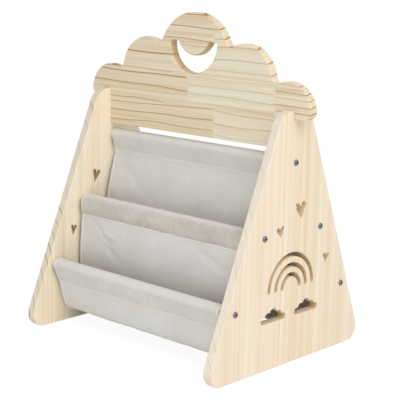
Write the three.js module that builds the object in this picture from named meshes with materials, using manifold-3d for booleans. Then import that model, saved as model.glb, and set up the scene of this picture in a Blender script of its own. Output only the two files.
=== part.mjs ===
// Two-sided sling bookshelf for a child's room. Two pine side panels lean in to a narrow top,
// a cloud-shaped head board laps into their tops, five wooden rods are bolted between them,
// and a cotton sling sewn into sleeves on the rods hangs as two pockets on each side.
// Millimetres. +X runs along the shelf, -Y is the front and +Z is up. The origin is on the
// floor under the middle of the shelf.
import * as THREE from 'three';
import { mergeVertices } from 'three/addons/utils/BufferGeometryUtils.js';
import Module from 'manifold-3d';

const wasm = await Module();
wasm.setup();

// Side panels
const shelfWidth = 480; // across the outer faces of the two panels
const boardThickness = 18; // of every pine board
const panelHeight = 452;
const panelFootDepth = 435.4; // between the sloping edges, produced down to the floor
const panelHeadDepth = 75.2; // between the sloping edges at the panel's top
const headCornerRadius = 35;
const footCornerRadius = 26;
const easedEdge = 1.5; // chamfer left by sanding the long edges

// Head board
const apronDrop = 68.5; // lower edge of the board below the panel tops
const lapDepth = 15; // slot in each panel top that takes the board
const crescentHeight = 103.5; // centre of the hand hole above the panel tops
const crescentRadius = 57.5;
const crescentTongueRise = 15.5; // centre of the tongue's arc above the hole's centre
const crescentTongueRadius = 41;
const crescentTipRadius = 4;
const valleyRadius = 12; // fillet between two lobes of the cloud
const lobeEndRadius = 16; // lower corner of the outermost lobe

// Lobes of the head board from the middle outwards, as shares of the shelf's width
const headLobeShares = [
  { across: 0, rise: 0.141, radius: 0.1852 },
  { across: 0.2557, rise: 0.0867, radius: 0.1346 },
  { across: 0.4634, rise: -0.0083, radius: 0.1091 },
];

// Rainbow cut through each panel
const rainbowHeight = 138.5; // centre of the arches above the floor
const rainbowFootLift = 3; // feet of the arches above that centre
const rainbowSlotWidth = 8;
const rainbowRadii = [60.5, 42, 24.5]; // to the middle of each slot

// Small clouds cut through each panel, below the rainbow: the head board's cloud in small
const smallCloudScale = 0.121;
const smallCloudHeight = 86; // flat underside above the floor
const smallCloudLiftShare = 0.098; // level its lobes rise from, above the underside, in its width
const smallCloudReach = 46; // middle of each cloud from the panel's middle

// Hearts cut through the panels: places as shares of half the foot depth and of the height,
// widths as shares of the height, heights as shares of their widths, lean in degrees
const heartLobeShare = 0.2; // radius of a heart's lobes in its width
const heartCleftShare = 0.33; // depth of the cleft in the heart's height
const rightHeartShares = [
  { across: 0.094, up: 0.608, width: 0.063, tall: 1.05, lean: 6 },
  { across: -0.157, up: 0.538, width: 0.0435, tall: 1, lean: 7 },
  { across: 0.456, up: 0.39, width: 0.04, tall: 1.05, lean: -7 },
];
const leftHeartShares = [
  { across: -0.213, up: 0.62, width: 0.04, tall: 1.38, lean: -15 },
  { across: 0.055, up: 0.573, width: 0.06, tall: 1.05, lean: 0 },
  { across: -0.478, up: 0.396, width: 0.031, tall: 1.42, lean: -10 },
];

// Rods
const rodDiameter = 20;
const rodChamfer = 1;
const topRodDrop = 21.5; // axis of the top rod below the head board
const upperRodHeight = 239;
const upperRodInset = 45.2; // axis behind the panel's sloping edge, measured level
const lowerRodHeight = 120.3;
const lowerRodInset = 21.4;

// Button-head bolts and the threaded inserts in the rod ends
const boltDiameter = 6;
const boltLength = 35; // under the head
const boltHeadDiameter = 10.5;
const boltHeadHeight = 3.3;
const boltSocketWidth = 4; // across the flats of the hexagon
const boltSocketDepth = 2;
const boltHeadShares = { crown: 0.5, rim: 0.25, shoulder: 0.8 }; // crown across, the others up
const boltTipChamfer = 0.75;
const insertDiameter = 10;
const insertLength = 14;

// Sling
const slingEndGap = 6.5; // from the cloth's ends to the panels
const clothThickness = 1.5;

// Sleeves: the seam's distance from its rod's axis and the degrees that it swings outwards
const topSleeve = { drop: 36, lean: 0 };
const upperSleeve = { drop: 31.5, lean: 16 };
const lowerSleeve = { drop: 36, lean: -4.5 };

// Walls of the pockets
const wallHandleShare = 0.28; // stiffness of a wall's curve, in the length of its chord
const bellyDepth = 3; // how far a wall bellies out in the middle of its width
const fluteDepth = 1; // soft upright folds along a wall
const fluteCount = 3;

// Each pocket: its bottom's centre from its front rod, the rounding of its bottom, and the
// angles in degrees at which its walls leave the seams and meet the bottom, outwards from the
// vertical
const upperPocket = {
  inset: 25.3,
  drop: 79,
  radius: 16,
  backTopLean: 15,
  backFootLean: 4,
  frontFootLean: 25,
  frontTopLean: 15,
};
const lowerPocket = {
  inset: 35.5,
  drop: 73.3,
  radius: 21,
  backTopLean: 10,
  backFootLean: 0,
  frontFootLean: 24,
  frontTopLean: 17,
};

// Clearances and cutting
const fitGap = 0.3; // between pieces that seat in or round each other
const cutOverrun = 2; // how far a cutter passes the faces that it opens

// Facets
const arcSegments = 6;
const roundSegments = 20;
const smallRoundSegments = 12;
const wallSegments = 7;
const bottomSegments = 8;
const sleeveSegments = 12;
const drapeSteps = 10;

// Places worked out from the sizes above
const halfWidth = shelfWidth / 2;
const insideHalfWidth = halfWidth - boardThickness;
const panelMiddle = halfWidth - boardThickness / 2;
const edgeSlope = (panelFootDepth - panelHeadDepth) / 2 / panelHeight;
const boardFoot = panelHeight - apronDrop;
const lapHeight = panelHeight - lapDepth;
const rodLength = 2 * (insideHalfWidth - fitGap);
const slingWidth = 2 * (insideHalfWidth - slingEndGap);
const rodRadius = rodDiameter / 2;
const boltTip = boltLength - boardThickness; // how far a bolt reaches into the rod

const rodPlaces = {
  top: { reach: 0, height: boardFoot - topRodDrop },
  upper: { reach: edgeReach(upperRodHeight) - upperRodInset, height: upperRodHeight },
  lower: { reach: edgeReach(lowerRodHeight) - lowerRodInset, height: lowerRodHeight },
};
const sides = { front: -1, rear: 1 };

const pine = new THREE.MeshStandardMaterial({ color: '#eedcbc', roughness: 0.7, metalness: 0 });
const paleRod = new THREE.MeshStandardMaterial({ color: '#e6cfa6', roughness: 0.65, metalness: 0 });
const cotton = new THREE.MeshStandardMaterial({ color: '#cfccc5', roughness: 0.95, metalness: 0 });
const zincSteel = new THREE.MeshStandardMaterial({ color: '#8d939c', roughness: 0.35, metalness: 0.9 });
const insertAlloy = new THREE.MeshStandardMaterial({ color: '#b4a67c', roughness: 0.4, metalness: 0.8 });

// Half the depth of a panel at a height, between its sloping edges
function edgeReach(height) {
  return panelFootDepth / 2 - edgeSlope * height;
}

function point(x, y) {
  return new THREE.Vector2(x, y);
}

// Unit vector at an angle in degrees from straight up, positive outwards
function leaning(degrees) {
  const angle = THREE.MathUtils.degToRad(degrees);
  return point(Math.sin(angle), Math.cos(angle));
}

// A closed triangle mesh as a solid that can be cut
function toSolid(geometry) {
  const bare = geometry.clone();
  bare.deleteAttribute('normal');
  bare.deleteAttribute('uv');
  const merged = mergeVertices(bare);
  return new wasm.Manifold(
    new wasm.Mesh({
      numProp: 3,
      vertProperties: new Float32Array(merged.attributes.position.array),
      triVerts: new Uint32Array(merged.index.array),
    }),
  );
}

function toGeometry(solid) {
  const mesh = solid.getMesh();
  const geometry = new THREE.BufferGeometry();
  geometry.setAttribute('position', new THREE.BufferAttribute(mesh.vertProperties, mesh.numProp));
  geometry.setIndex(new THREE.BufferAttribute(mesh.triVerts, 1));
  geometry.computeVertexNormals();
  return geometry;
}

function cut(blank, cutters) {
  return toGeometry(cutters.reduce((solid, cutter) => solid.subtract(toSolid(cutter)), toSolid(blank)));
}

// Carries an outline through a depth, centred on its plane, with its long edges eased
function thickened(outline, depth, { ease = 0, steps = 1 } = {}) {
  const geometry = new THREE.ExtrudeGeometry(outline, {
    depth: depth - 2 * ease,
    steps,
    curveSegments: arcSegments,
    bevelEnabled: ease > 0,
    bevelThickness: ease,
    bevelSize: ease,
    bevelOffset: -ease,
    bevelSegments: 1,
  });
  return geometry.translate(0, 0, ease - depth / 2);
}

// An outline drawn in (y, z), carried along X
function alongX(outline, depth, options) {
  const turn = new THREE.Matrix4().makeBasis(
    new THREE.Vector3(0, 1, 0),
    new THREE.Vector3(0, 0, 1),
    new THREE.Vector3(1, 0, 0),
  );
  return thickened(outline, depth, options).applyMatrix4(turn);
}

// An outline drawn in (x, z), carried along Y
function alongY(outline, depth, options) {
  return thickened(outline, depth, options).rotateX(Math.PI / 2);
}

// A turned solid about X, from a profile of [radius, place along X]
function turnedAlongX(profile, segments) {
  const points = profile.map(([radius, along]) => point(radius, along));
  return new THREE.LatheGeometry(points, segments).rotateZ(-Math.PI / 2);
}

// A closed outline through corners [x, y, radius], each rounded by its radius
function roundedOutline(corners) {
  const outline = new THREE.Shape();
  corners.forEach(([x, y, radius], index) => {
    const [beforeX, beforeY] = corners.at(index - 1);
    const [afterX, afterY] = corners[(index + 1) % corners.length];
    const corner = point(x, y);
    const back = point(beforeX, beforeY).sub(corner).normalize();
    const ahead = point(afterX, afterY).sub(corner).normalize();
    const halfAngle = Math.acos(back.dot(ahead)) / 2;
    const reach = radius / Math.tan(halfAngle);
    const inward = back.clone().add(ahead).normalize();
    const centre = corner.clone().addScaledVector(inward, radius / Math.sin(halfAngle));
    const start = corner.clone().addScaledVector(back, reach).sub(centre);
    const end = corner.clone().addScaledVector(ahead, reach).sub(centre);
    const clockwise = back.cross(ahead) > 0;
    outline.absarc(centre.x, centre.y, radius, start.angle(), end.angle(), clockwise);
  });
  return outline;
}

// The upper crossing of two circles, the first of them to the right of the second
function upperCrossing(right, rightRadius, left, leftRadius) {
  const span = left.clone().sub(right);
  const distance = span.length();
  const along = (rightRadius ** 2 - leftRadius ** 2 + distance ** 2) / 2 / distance;
  const aside = Math.sqrt(rightRadius ** 2 - along ** 2);
  const unit = span.divideScalar(distance);
  return right.clone().addScaledVector(unit, along).add(point(unit.y, -unit.x).multiplyScalar(aside));
}

// A symmetric cloud from half a table of lobe shares, standing on a level base. Underside
// points, from left to right, replace the straight base where they are given.
function cloudOutline(shares, size, middle, lift, base, endRadius, valley, underside = []) {
  const half = shares.map((share) => ({
    centre: point(share.across * size, lift + share.rise * size),
    radius: share.radius * size,
  }));
  const mirrored = half.slice(1).map(({ centre, radius }) => ({ centre: point(-centre.x, centre.y), radius }));
  const lobes = [...half.toReversed(), ...mirrored];
  lobes.forEach((lobe) => {
    lobe.centre.x += middle;
  });

  const outermost = lobes[0];
  const endHeight = base + endRadius;
  const endReach = Math.sqrt(
    (outermost.radius - endRadius) ** 2 - (endHeight - outermost.centre.y) ** 2,
  );
  const rightEnd = point(outermost.centre.x + endReach, endHeight);
  const leftEnd = point(lobes.at(-1).centre.x - endReach, endHeight);
  const valleys = lobes.slice(1).map((lobe, index) => {
    const before = lobes[index];
    return upperCrossing(before.centre, before.radius + valley, lobe.centre, lobe.radius + valley);
  });

  const outline = new THREE.Shape();
  const angleFrom = (centre, target) => target.clone().sub(centre).angle();
  const rightAngle = angleFrom(outermost.centre, rightEnd);
  outline.absarc(rightEnd.x, rightEnd.y, endRadius, -Math.PI / 2, rightAngle, false);
  lobes.forEach((lobe, index) => {
    const start = index === 0 ? rightEnd : valleys[index - 1];
    const end = index === lobes.length - 1 ? leftEnd : valleys[index];
    const { centre, radius } = lobe;
    outline.absarc(centre.x, centre.y, radius, angleFrom(centre, start), angleFrom(centre, end), false);
    if (end !== leftEnd) {
      const next = lobes[index + 1].centre;
      outline.absarc(end.x, end.y, valley, angleFrom(end, centre), angleFrom(end, next), true);
    }
  });
  const leftAngle = angleFrom(lobes.at(-1).centre, leftEnd);
  outline.absarc(leftEnd.x, leftEnd.y, endRadius, leftAngle, -Math.PI / 2, false);
  underside.forEach(({ x, y }) => outline.lineTo(x, y));
  return outline;
}

// A slot along an arc about a centre, whose round feet stop above that centre by a lift
function archOutline(height, radius, width, lift) {
  const half = width / 2;
  const right = Math.asin(lift / radius);
  const left = Math.PI - right;
  const reach = radius * Math.cos(right);
  const outline = new THREE.Shape();
  outline.absarc(0, height, radius + half, right, left, false);
  outline.absarc(-reach, height + lift, half, left, left + Math.PI, false);
  outline.absarc(0, height, radius - half, left, right, true);
  outline.absarc(reach, height + lift, half, right + Math.PI, right + 2 * Math.PI, false);
  return outline;
}

// Direction of the line from a point that touches a circle on its right (-1) or left (1) side
function touchingAngle(from, centre, radius, hand) {
  const reach = centre.clone().sub(from);
  return reach.angle() + hand * Math.asin(radius / reach.length());
}

// A heart: two round lobes, straight sides that meet in its tip and a cleft of straight lines
function heartOutline(centreAcross, centreUp, width, tall, lean) {
  const radius = width * heartLobeShare;
  const height = width * tall;
  const lobe = point(width / 2 - radius, height / 2 - radius);
  const tip = point(0, -height / 2);
  const cleft = point(0, height / 2 - height * heartCleftShare);
  const start = touchingAngle(tip, lobe, radius, -1) - Math.PI / 2;
  const end = touchingAngle(cleft, lobe, radius, 1) + Math.PI / 2;
  const outline = new THREE.Path();
  outline.absarc(lobe.x, lobe.y, radius, start, end, false);
  outline.lineTo(cleft.x, cleft.y);
  outline.absarc(-lobe.x, lobe.y, radius, Math.PI - end, Math.PI - start, false);
  outline.lineTo(tip.x, tip.y);
  const turned = outline.getPoints(arcSegments).map((place) =>
    place.rotateAround(point(0, 0), THREE.MathUtils.degToRad(lean)).add(point(centreAcross, centreUp)),
  );
  return new THREE.Shape(turned);
}

// The crescent hand hole: a half disc whose top is filled by a round tongue between two tips
function crescentOutline() {
  const centreHeight = panelHeight + crescentHeight;
  const tip = crescentTipRadius;
  const tipHeight = centreHeight - tip;
  const tongueHeight = centreHeight + crescentTongueRise;
  const tongueDrop = crescentTongueRise + tip;
  const outerReach = Math.sqrt((crescentRadius - tip) ** 2 - tip ** 2);
  const innerReach = Math.sqrt((crescentTongueRadius + tip) ** 2 - tongueDrop ** 2);
  const outer = Math.atan2(tip, outerReach);
  const inner = Math.atan2(tongueDrop, innerReach);
  const outline = new THREE.Shape();
  outline.absarc(0, centreHeight, crescentRadius, Math.PI + outer, 2 * Math.PI - outer, false);
  outline.absarc(outerReach, tipHeight, tip, -outer, Math.PI / 2, false);
  outline.absarc(innerReach, tipHeight, tip, Math.PI / 2, Math.PI - inner, false);
  outline.absarc(0, tongueHeight, crescentTongueRadius, -inner, Math.PI + inner, true);
  outline.absarc(-innerReach, tipHeight, tip, inner, Math.PI / 2, false);
  outline.absarc(-outerReach, tipHeight, tip, Math.PI / 2, Math.PI + outer, false);
  return outline;
}

function panelOutline() {
  const foot = panelFootDepth / 2;
  const head = panelHeadDepth / 2;
  return roundedOutline([
    [-foot, 0, footCornerRadius],
    [foot, 0, footCornerRadius],
    [head, panelHeight, headCornerRadius],
    [-head, panelHeight, headCornerRadius],
  ]);
}

// Every bolt and rod on the shelf, front and rear, as places in (y, z)
function boltPlaces() {
  const { top, upper, lower } = rodPlaces;
  const paired = [upper, lower].flatMap(({ reach, height }) =>
    Object.values(sides).map((side) => point(side * reach, height)),
  );
  return [point(top.reach, top.height), ...paired];
}

// A side panel: rounded trapezium with a slot for the head board and its cut-outs
function panelGeometry(heartShares) {
  const throughDepth = boardThickness + 2 * cutOverrun;
  const slotWidth = boardThickness + 2 * fitGap;
  const slot = new THREE.BoxGeometry(throughDepth, slotWidth, lapDepth + cutOverrun);
  slot.translate(0, 0, lapHeight + (lapDepth + cutOverrun) / 2);
  const arches = rainbowRadii.map((radius) =>
    archOutline(rainbowHeight, radius, rainbowSlotWidth, rainbowFootLift),
  );
  const cloudSize = shelfWidth * smallCloudScale;
  const clouds = Object.values(sides).map((side) =>
    cloudOutline(
      headLobeShares,
      cloudSize,
      side * smallCloudReach,
      smallCloudHeight + cloudSize * smallCloudLiftShare,
      smallCloudHeight,
      lobeEndRadius * smallCloudScale,
      valleyRadius * smallCloudScale,
    ),
  );
  const hearts = heartShares.map(({ across, up, width, tall, lean }) =>
    heartOutline((across * panelFootDepth) / 2, up * panelHeight, width * panelHeight, tall, lean),
  );
  const holeRadius = boltDiameter / 2 + fitGap;
  const holes = boltPlaces().map((place) =>
    new THREE.CylinderGeometry(holeRadius, holeRadius, throughDepth, smallRoundSegments)
      .rotateZ(Math.PI / 2)
      .translate(0, place.x, place.y),
  );
  const cutters = [...arches, ...clouds, ...hearts].map((outline) => alongX(outline, throughDepth));
  const blank = alongX(panelOutline(), boardThickness, { ease: easedEdge });
  return cut(blank, [slot, ...holes, ...cutters]);
}

// The head board: a five-lobed cloud whose apron drops between the panels
function headBoardGeometry() {
  const shoulder = lapHeight + fitGap;
  const apron = insideHalfWidth - fitGap;
  const underside = [
    point(-apron, shoulder),
    point(-apron, boardFoot),
    point(apron, boardFoot),
    point(apron, shoulder),
  ];
  const outline = cloudOutline(
    headLobeShares,
    shelfWidth,
    0,
    panelHeight,
    shoulder,
    lobeEndRadius,
    valleyRadius,
    underside,
  );
  const blank = alongY(outline, boardThickness, { ease: easedEdge });
  return cut(blank, [alongY(crescentOutline(), boardThickness + 2 * cutOverrun)]);
}

// A rod with a stepped bore in each end for its insert and the bolt's tip
function rodGeometry() {
  const end = rodLength / 2;
  const insertRadius = insertDiameter / 2 + fitGap;
  const tipRadius = boltDiameter / 2 + fitGap;
  const insertDepth = insertLength + fitGap;
  const tipDepth = Math.max(boltTip, insertDepth) + rodRadius / 2;
  const rightHalf = [
    [rodRadius, end - rodChamfer],
    [rodRadius - rodChamfer, end],
    [insertRadius, end],
    [insertRadius, end - insertDepth],
    [tipRadius, end - insertDepth],
    [tipRadius, end - tipDepth],
    [0, end - tipDepth],
  ];
  const leftHalf = rightHalf.toReversed().map(([radius, along]) => [radius, -along]);
  return turnedAlongX([...leftHalf, ...rightHalf], roundSegments);
}

// A threaded insert as a plain ring, lying from its mouth at the origin towards -X
function insertGeometry() {
  const outer = insertDiameter / 2;
  const inner = boltDiameter / 2 + fitGap / 2;
  return turnedAlongX(
    [
      [inner, -insertLength],
      [outer, -insertLength],
      [outer, 0],
      [inner, 0],
      [inner, -insertLength],
    ],
    smallRoundSegments,
  );
}

// A button-head bolt with a hexagon socket, its head outside the origin and its shank along -X
function boltGeometry() {
  const shank = boltDiameter / 2;
  const head = boltHeadDiameter / 2;
  const crown = head * boltHeadShares.crown;
  const blank = turnedAlongX(
    [
      [0, -boltLength],
      [shank - boltTipChamfer, -boltLength],
      [shank, boltTipChamfer - boltLength],
      [shank, 0],
      [head, 0],
      [head, boltHeadHeight * boltHeadShares.rim],
      [(head + crown) / 2, boltHeadHeight * boltHeadShares.shoulder],
      [crown, boltHeadHeight],
      [0, boltHeadHeight],
    ],
    smallRoundSegments,
  );
  const corner = boltSocketWidth / 2 / Math.cos(Math.PI / 6);
  const socketDepth = boltSocketDepth + cutOverrun;
  const socket = new THREE.CylinderGeometry(corner, corner, socketDepth, 6)
    .rotateZ(Math.PI / 2)
    .translate(boltHeadHeight - boltSocketDepth + socketDepth / 2, 0, 0);
  return cut(blank, [socket]);
}

// The seam of a sleeve: below its rod, swung outwards by the sleeve's lean
function seamOf(rod, sleeve) {
  const axis = point(rod.reach, rod.height);
  return axis.sub(leaning(-sleeve.lean).multiplyScalar(sleeve.drop));
}

// Half the angle between a sleeve's two walls, which touch the rod's loop and meet at the seam
function sleeveOpening(sleeve) {
  return Math.asin((rodRadius + fitGap + clothThickness / 2) / sleeve.drop);
}

// The loop of cloth round a rod at a radius, from the outer side over the top to the inner side
function sleeveLoop(rod, sleeve, radius) {
  const opening = sleeveOpening(sleeve);
  const up = Math.PI / 2 + THREE.MathUtils.degToRad(sleeve.lean);
  const start = up - Math.PI / 2 - opening;
  const end = up + Math.PI / 2 + opening;
  const loop = new THREE.Path().absarc(rod.reach, rod.height, radius, start, end, false);
  return loop.getSpacedPoints(sleeveSegments);
}

// The tunnel that the rod passes through, closed at the seam below
function sleeveTunnel(rod, sleeve) {
  const radius = rodRadius + fitGap;
  const apex = radius / Math.sin(sleeveOpening(sleeve));
  const bottom = point(rod.reach, rod.height).sub(leaning(-sleeve.lean).multiplyScalar(apex));
  return [...sleeveLoop(rod, sleeve, radius), bottom];
}

// The middle line of a pocket's cloth from the seam it hangs from, down the back wall, round
// the bottom and up the front wall to its own seam, in (reach, height)
function pocketLine(hangingSeam, rod, sleeve, pocket) {
  const start = hangingSeam.clone().add(point(clothThickness + fitGap, 0));
  const centre = point(rod.reach - pocket.inset, rod.height - pocket.drop);
  const seam = seamOf(rod, sleeve);
  const backFoot = THREE.MathUtils.degToRad(pocket.backFootLean);
  const frontFoot = THREE.MathUtils.degToRad(pocket.frontFootLean);
  const round = new THREE.Path().absarc(
    centre.x,
    centre.y,
    pocket.radius,
    Math.PI + backFoot,
    2 * Math.PI - frontFoot,
    false,
  );
  const bottom = round.getSpacedPoints(bottomSegments);
  const down = (degrees) => leaning(-degrees).negate();
  const back = wallCurve(start, down(pocket.backTopLean), bottom[0], down(pocket.backFootLean));
  const front = wallCurve(
    bottom.at(-1),
    leaning(pocket.frontFootLean),
    seam,
    leaning(pocket.frontTopLean),
  );
  return [...back.slice(0, -1), ...bottom, ...front.slice(1)];
}

// A wall as a smooth curve between two points, leaving and arriving in given directions
function wallCurve(start, leaving, end, arriving) {
  const handle = start.distanceTo(end) * wallHandleShare;
  const curve = new THREE.CubicBezierCurve(
    start,
    start.clone().addScaledVector(leaving, handle),
    end.clone().addScaledVector(arriving, -handle),
    end,
  );
  return curve.getPoints(wallSegments);
}

// A line of points moved sideways by a distance, to the right of its direction of travel
function offsetLine(points, distance) {
  return points.map((place, index) => {
    const before = points[Math.max(index - 1, 0)];
    const after = points[Math.min(index + 1, points.length - 1)];
    const along = after.clone().sub(before).normalize();
    return place.clone().add(point(along.y, -along.x).multiplyScalar(distance));
  });
}

// Turns an outline drawn in (reach, height) into one in (y, z) on the front or rear side,
// going round the same way
function onSide(points, side) {
  const placed = points.map(({ x, y }) => point(side * x, y));
  return side < 0 ? placed.toReversed() : placed;
}

// A pocket with the sleeve of its front rod, bellied and fluted along the shelf
function pocketGeometry(side, hangingSeam, rod, sleeve, pocket) {
  const line = pocketLine(hangingSeam, rod, sleeve, pocket);
  const outerRadius = rodRadius + fitGap + clothThickness;
  const outline = [
    ...offsetLine(line, clothThickness / 2),
    ...sleeveLoop(rod, sleeve, outerRadius),
    ...offsetLine(line, -clothThickness / 2).toReversed(),
  ];
  const shape = new THREE.Shape(onSide(outline, side));
  shape.holes.push(new THREE.Path(onSide(sleeveTunnel(rod, sleeve), side)));
  const cloth = alongX(shape, slingWidth, { steps: drapeSteps });
  const middle = rod.reach - pocket.inset;
  const floor = rod.height - pocket.drop - pocket.radius;
  drape(cloth, side, middle, floor, hangingSeam.y, seamOf(rod, sleeve).y);
  return cloth;
}

// Moves each wall out of the pocket: most at mid-height and in the middle of its width, with
// upright flutes, and not at all at the seams, the ends and the bottom
function drape(geometry, side, middle, floor, backTop, frontTop) {
  const position = geometry.attributes.position;
  for (let index = 0; index < position.count; index += 1) {
    const reach = side * position.getY(index);
    const outward = Math.sign(reach - middle);
    const top = outward > 0 ? frontTop : backTop;
    const rise = THREE.MathUtils.clamp((position.getZ(index) - floor) / (top - floor), 0, 1);
    const along = position.getX(index) / slingWidth;
    const belly = bellyDepth * Math.cos(Math.PI * along) ** 2;
    const flute = fluteDepth * Math.sin(2 * Math.PI * fluteCount * along) * Math.cos(Math.PI * along);
    const shift = (belly + flute) * Math.sin(Math.PI * rise) ** 2;
    position.setY(index, side * (reach + outward * shift));
  }
}

// The sleeve on the top rod, from whose seam both upper pockets hang
function topSleeveGeometry() {
  const rod = rodPlaces.top;
  const seam = seamOf(rod, topSleeve);
  const edge = point(clothThickness / 2, 0);
  const outline = [
    seam.clone().add(edge),
    ...sleeveLoop(rod, topSleeve, rodRadius + fitGap + clothThickness),
    seam.clone().sub(edge),
  ];
  const shape = new THREE.Shape(outline);
  shape.holes.push(new THREE.Path(sleeveTunnel(rod, topSleeve)));
  return alongX(shape, slingWidth);
}

function piece(name, geometry, material) {
  const mesh = new THREE.Mesh(geometry, material);
  mesh.name = name;
  return mesh;
}

// The two panels, the right one facing +X and the left one facing -X
function buildPanels() {
  const group = new THREE.Group();
  const right = piece('right_side_panel', panelGeometry(rightHeartShares), pine);
  const left = piece('left_side_panel', panelGeometry(leftHeartShares), pine);
  right.position.x = panelMiddle;
  left.position.x = -panelMiddle;
  group.add(right, left, piece('cloud_head_board', headBoardGeometry(), pine));
  return group;
}

// One rod with its two inserts and two bolts, built about the rod's axis
function buildRod(name, reach, height) {
  const group = new THREE.Group();
  group.position.set(0, reach, height);
  group.add(piece(`${name}_rod`, rodGeometry(), paleRod));
  const ends = { left: Math.PI, right: 0 };
  Object.entries(ends).forEach(([end, turn]) => {
    const fastening = new THREE.Group();
    fastening.rotation.z = turn;
    const insert = piece(`${name}_insert_${end}`, insertGeometry(), insertAlloy);
    const bolt = piece(`${name}_bolt_${end}`, boltGeometry(), zincSteel);
    insert.position.x = rodLength / 2;
    bolt.position.x = halfWidth;
    fastening.add(insert, bolt);
    group.add(fastening);
  });
  return group;
}

function buildRods() {
  const group = new THREE.Group();
  const { top, upper, lower } = rodPlaces;
  group.add(buildRod('top', top.reach, top.height));
  Object.entries(sides).forEach(([name, side]) => {
    group.add(buildRod(`${name}_upper`, side * upper.reach, upper.height));
    group.add(buildRod(`${name}_lower`, side * lower.reach, lower.height));
  });
  return group;
}

function buildSling() {
  const group = new THREE.Group();
  const { top, upper, lower } = rodPlaces;
  const topSeam = seamOf(top, topSleeve);
  const upperSeam = seamOf(upper, upperSleeve);
  group.add(piece('top_sleeve', topSleeveGeometry(), cotton));
  Object.entries(sides).forEach(([name, side]) => {
    const upperCloth = pocketGeometry(side, topSeam, upper, upperSleeve, upperPocket);
    const lowerCloth = pocketGeometry(side, upperSeam, lower, lowerSleeve, lowerPocket);
    group.add(piece(`${name}_upper_pocket`, upperCloth, cotton));
    group.add(piece(`${name}_lower_pocket`, lowerCloth, cotton));
  });
  return group;
}

const group = new THREE.Group();
group.name = 'sling_bookshelf';
group.add(buildPanels(), buildRods(), buildSling());

export default group;
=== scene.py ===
"""Two-sided sling bookshelf in pine and canvas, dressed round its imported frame.

Sizes are in millimetres until a mesh is made, and metres in the scene. +X runs along the shelf,
-Y is the front and +Z is up, with the origin on the floor under the middle of the shelf.
"""

import logging
import math
from dataclasses import dataclass, replace
from enum import Enum
from typing import Callable, Sequence

import bmesh
import bpy
import numpy as np
from mathutils import Matrix, Vector


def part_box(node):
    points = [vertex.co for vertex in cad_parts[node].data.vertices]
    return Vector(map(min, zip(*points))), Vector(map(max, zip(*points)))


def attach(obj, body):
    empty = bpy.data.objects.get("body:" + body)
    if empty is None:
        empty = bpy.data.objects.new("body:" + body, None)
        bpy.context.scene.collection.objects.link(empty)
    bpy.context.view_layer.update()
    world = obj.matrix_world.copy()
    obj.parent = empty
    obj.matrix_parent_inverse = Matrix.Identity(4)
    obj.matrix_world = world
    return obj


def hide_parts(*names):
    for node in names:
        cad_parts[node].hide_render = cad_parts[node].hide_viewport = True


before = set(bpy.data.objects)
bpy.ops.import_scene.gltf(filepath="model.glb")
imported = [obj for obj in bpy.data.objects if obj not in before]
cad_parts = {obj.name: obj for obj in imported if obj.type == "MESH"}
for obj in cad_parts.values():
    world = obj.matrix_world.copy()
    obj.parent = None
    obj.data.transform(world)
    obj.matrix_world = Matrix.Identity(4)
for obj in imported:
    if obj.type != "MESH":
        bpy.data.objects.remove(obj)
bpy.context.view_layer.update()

Array = np.ndarray
Line = tuple[Array, Array]  # its points, and the outward direction at each
Triple = tuple[float, float, float]
Tree = bpy.types.NodeTree
Socket = bpy.types.NodeSocket
Place = tuple[Socket, Socket, Socket]
Material = bpy.types.Material
Object = bpy.types.Object

log = logging.getLogger("sling_bookshelf")

MILLIMETRE = 0.001
BODY = "root"
RING_POINTS = 48  # round a turned piece


class Side(Enum):
    """The two faces of the shelf, as the sign of their Y."""

    FRONT = -1
    REAR = 1


def node_box(name: str) -> tuple[Array, Array]:
    """Measures a node of the frame.

    Args:
        name: the node's name.

    Returns:
        Its lowest and highest corner, in millimetres.
    """
    low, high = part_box(name)
    return np.array(low) / MILLIMETRE, np.array(high) / MILLIMETRE


def node_middle(name: str) -> Array:
    """The middle of a node's box, in millimetres."""
    low, high = node_box(name)
    return (low + high) / 2


# Outlines


def arc(
    centre: Sequence[float], radius: float, start: float, end: float,
    clockwise: bool = False, step: float = 1.5,
) -> Array:
    """Points on an arc: the centre plus the radius times the cosine and sine of even angles.

    Args:
        centre: the arc's centre.
        radius: its radius.
        start: angle of its first point, in radians.
        end: angle of its last point, in radians.
        clockwise: whether the angle falls from start to end.
        step: longest distance between two points.

    Returns:
        The points, one a row.
    """
    sweep = (start - end if clockwise else end - start) % math.tau or math.tau
    count = max(4, math.ceil(radius * sweep / step) + 1)
    angles = start + np.linspace(0, -sweep if clockwise else sweep, count)
    return np.asarray(centre) + radius * np.stack([np.cos(angles), np.sin(angles)], 1)


def closed(parts: Sequence[Array], closeness: float = 0.02) -> Array:
    """Joins stretches of an outline into one loop, without its repeated points.

    Args:
        parts: the points of each stretch.
        closeness: distance within which a point repeats the one before.

    Returns:
        The loop's points.
    """
    points = np.concatenate(parts)
    gap = np.linalg.norm(points - np.roll(points, 1, 0), axis=1)
    return points[gap > closeness]


def angle_of(vector: Array) -> float:
    """The angle of a vector from the first axis, in radians."""
    return math.atan2(vector[1], vector[0])


def right_of(vectors: Array) -> Array:
    """Vectors turned a quarter to the right."""
    return np.stack([vectors[..., 1], -vectors[..., 0]], -1)


def units(vectors: Array) -> Array:
    """Vectors over their lengths."""
    return vectors / np.linalg.norm(vectors, axis=-1, keepdims=True)


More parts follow.
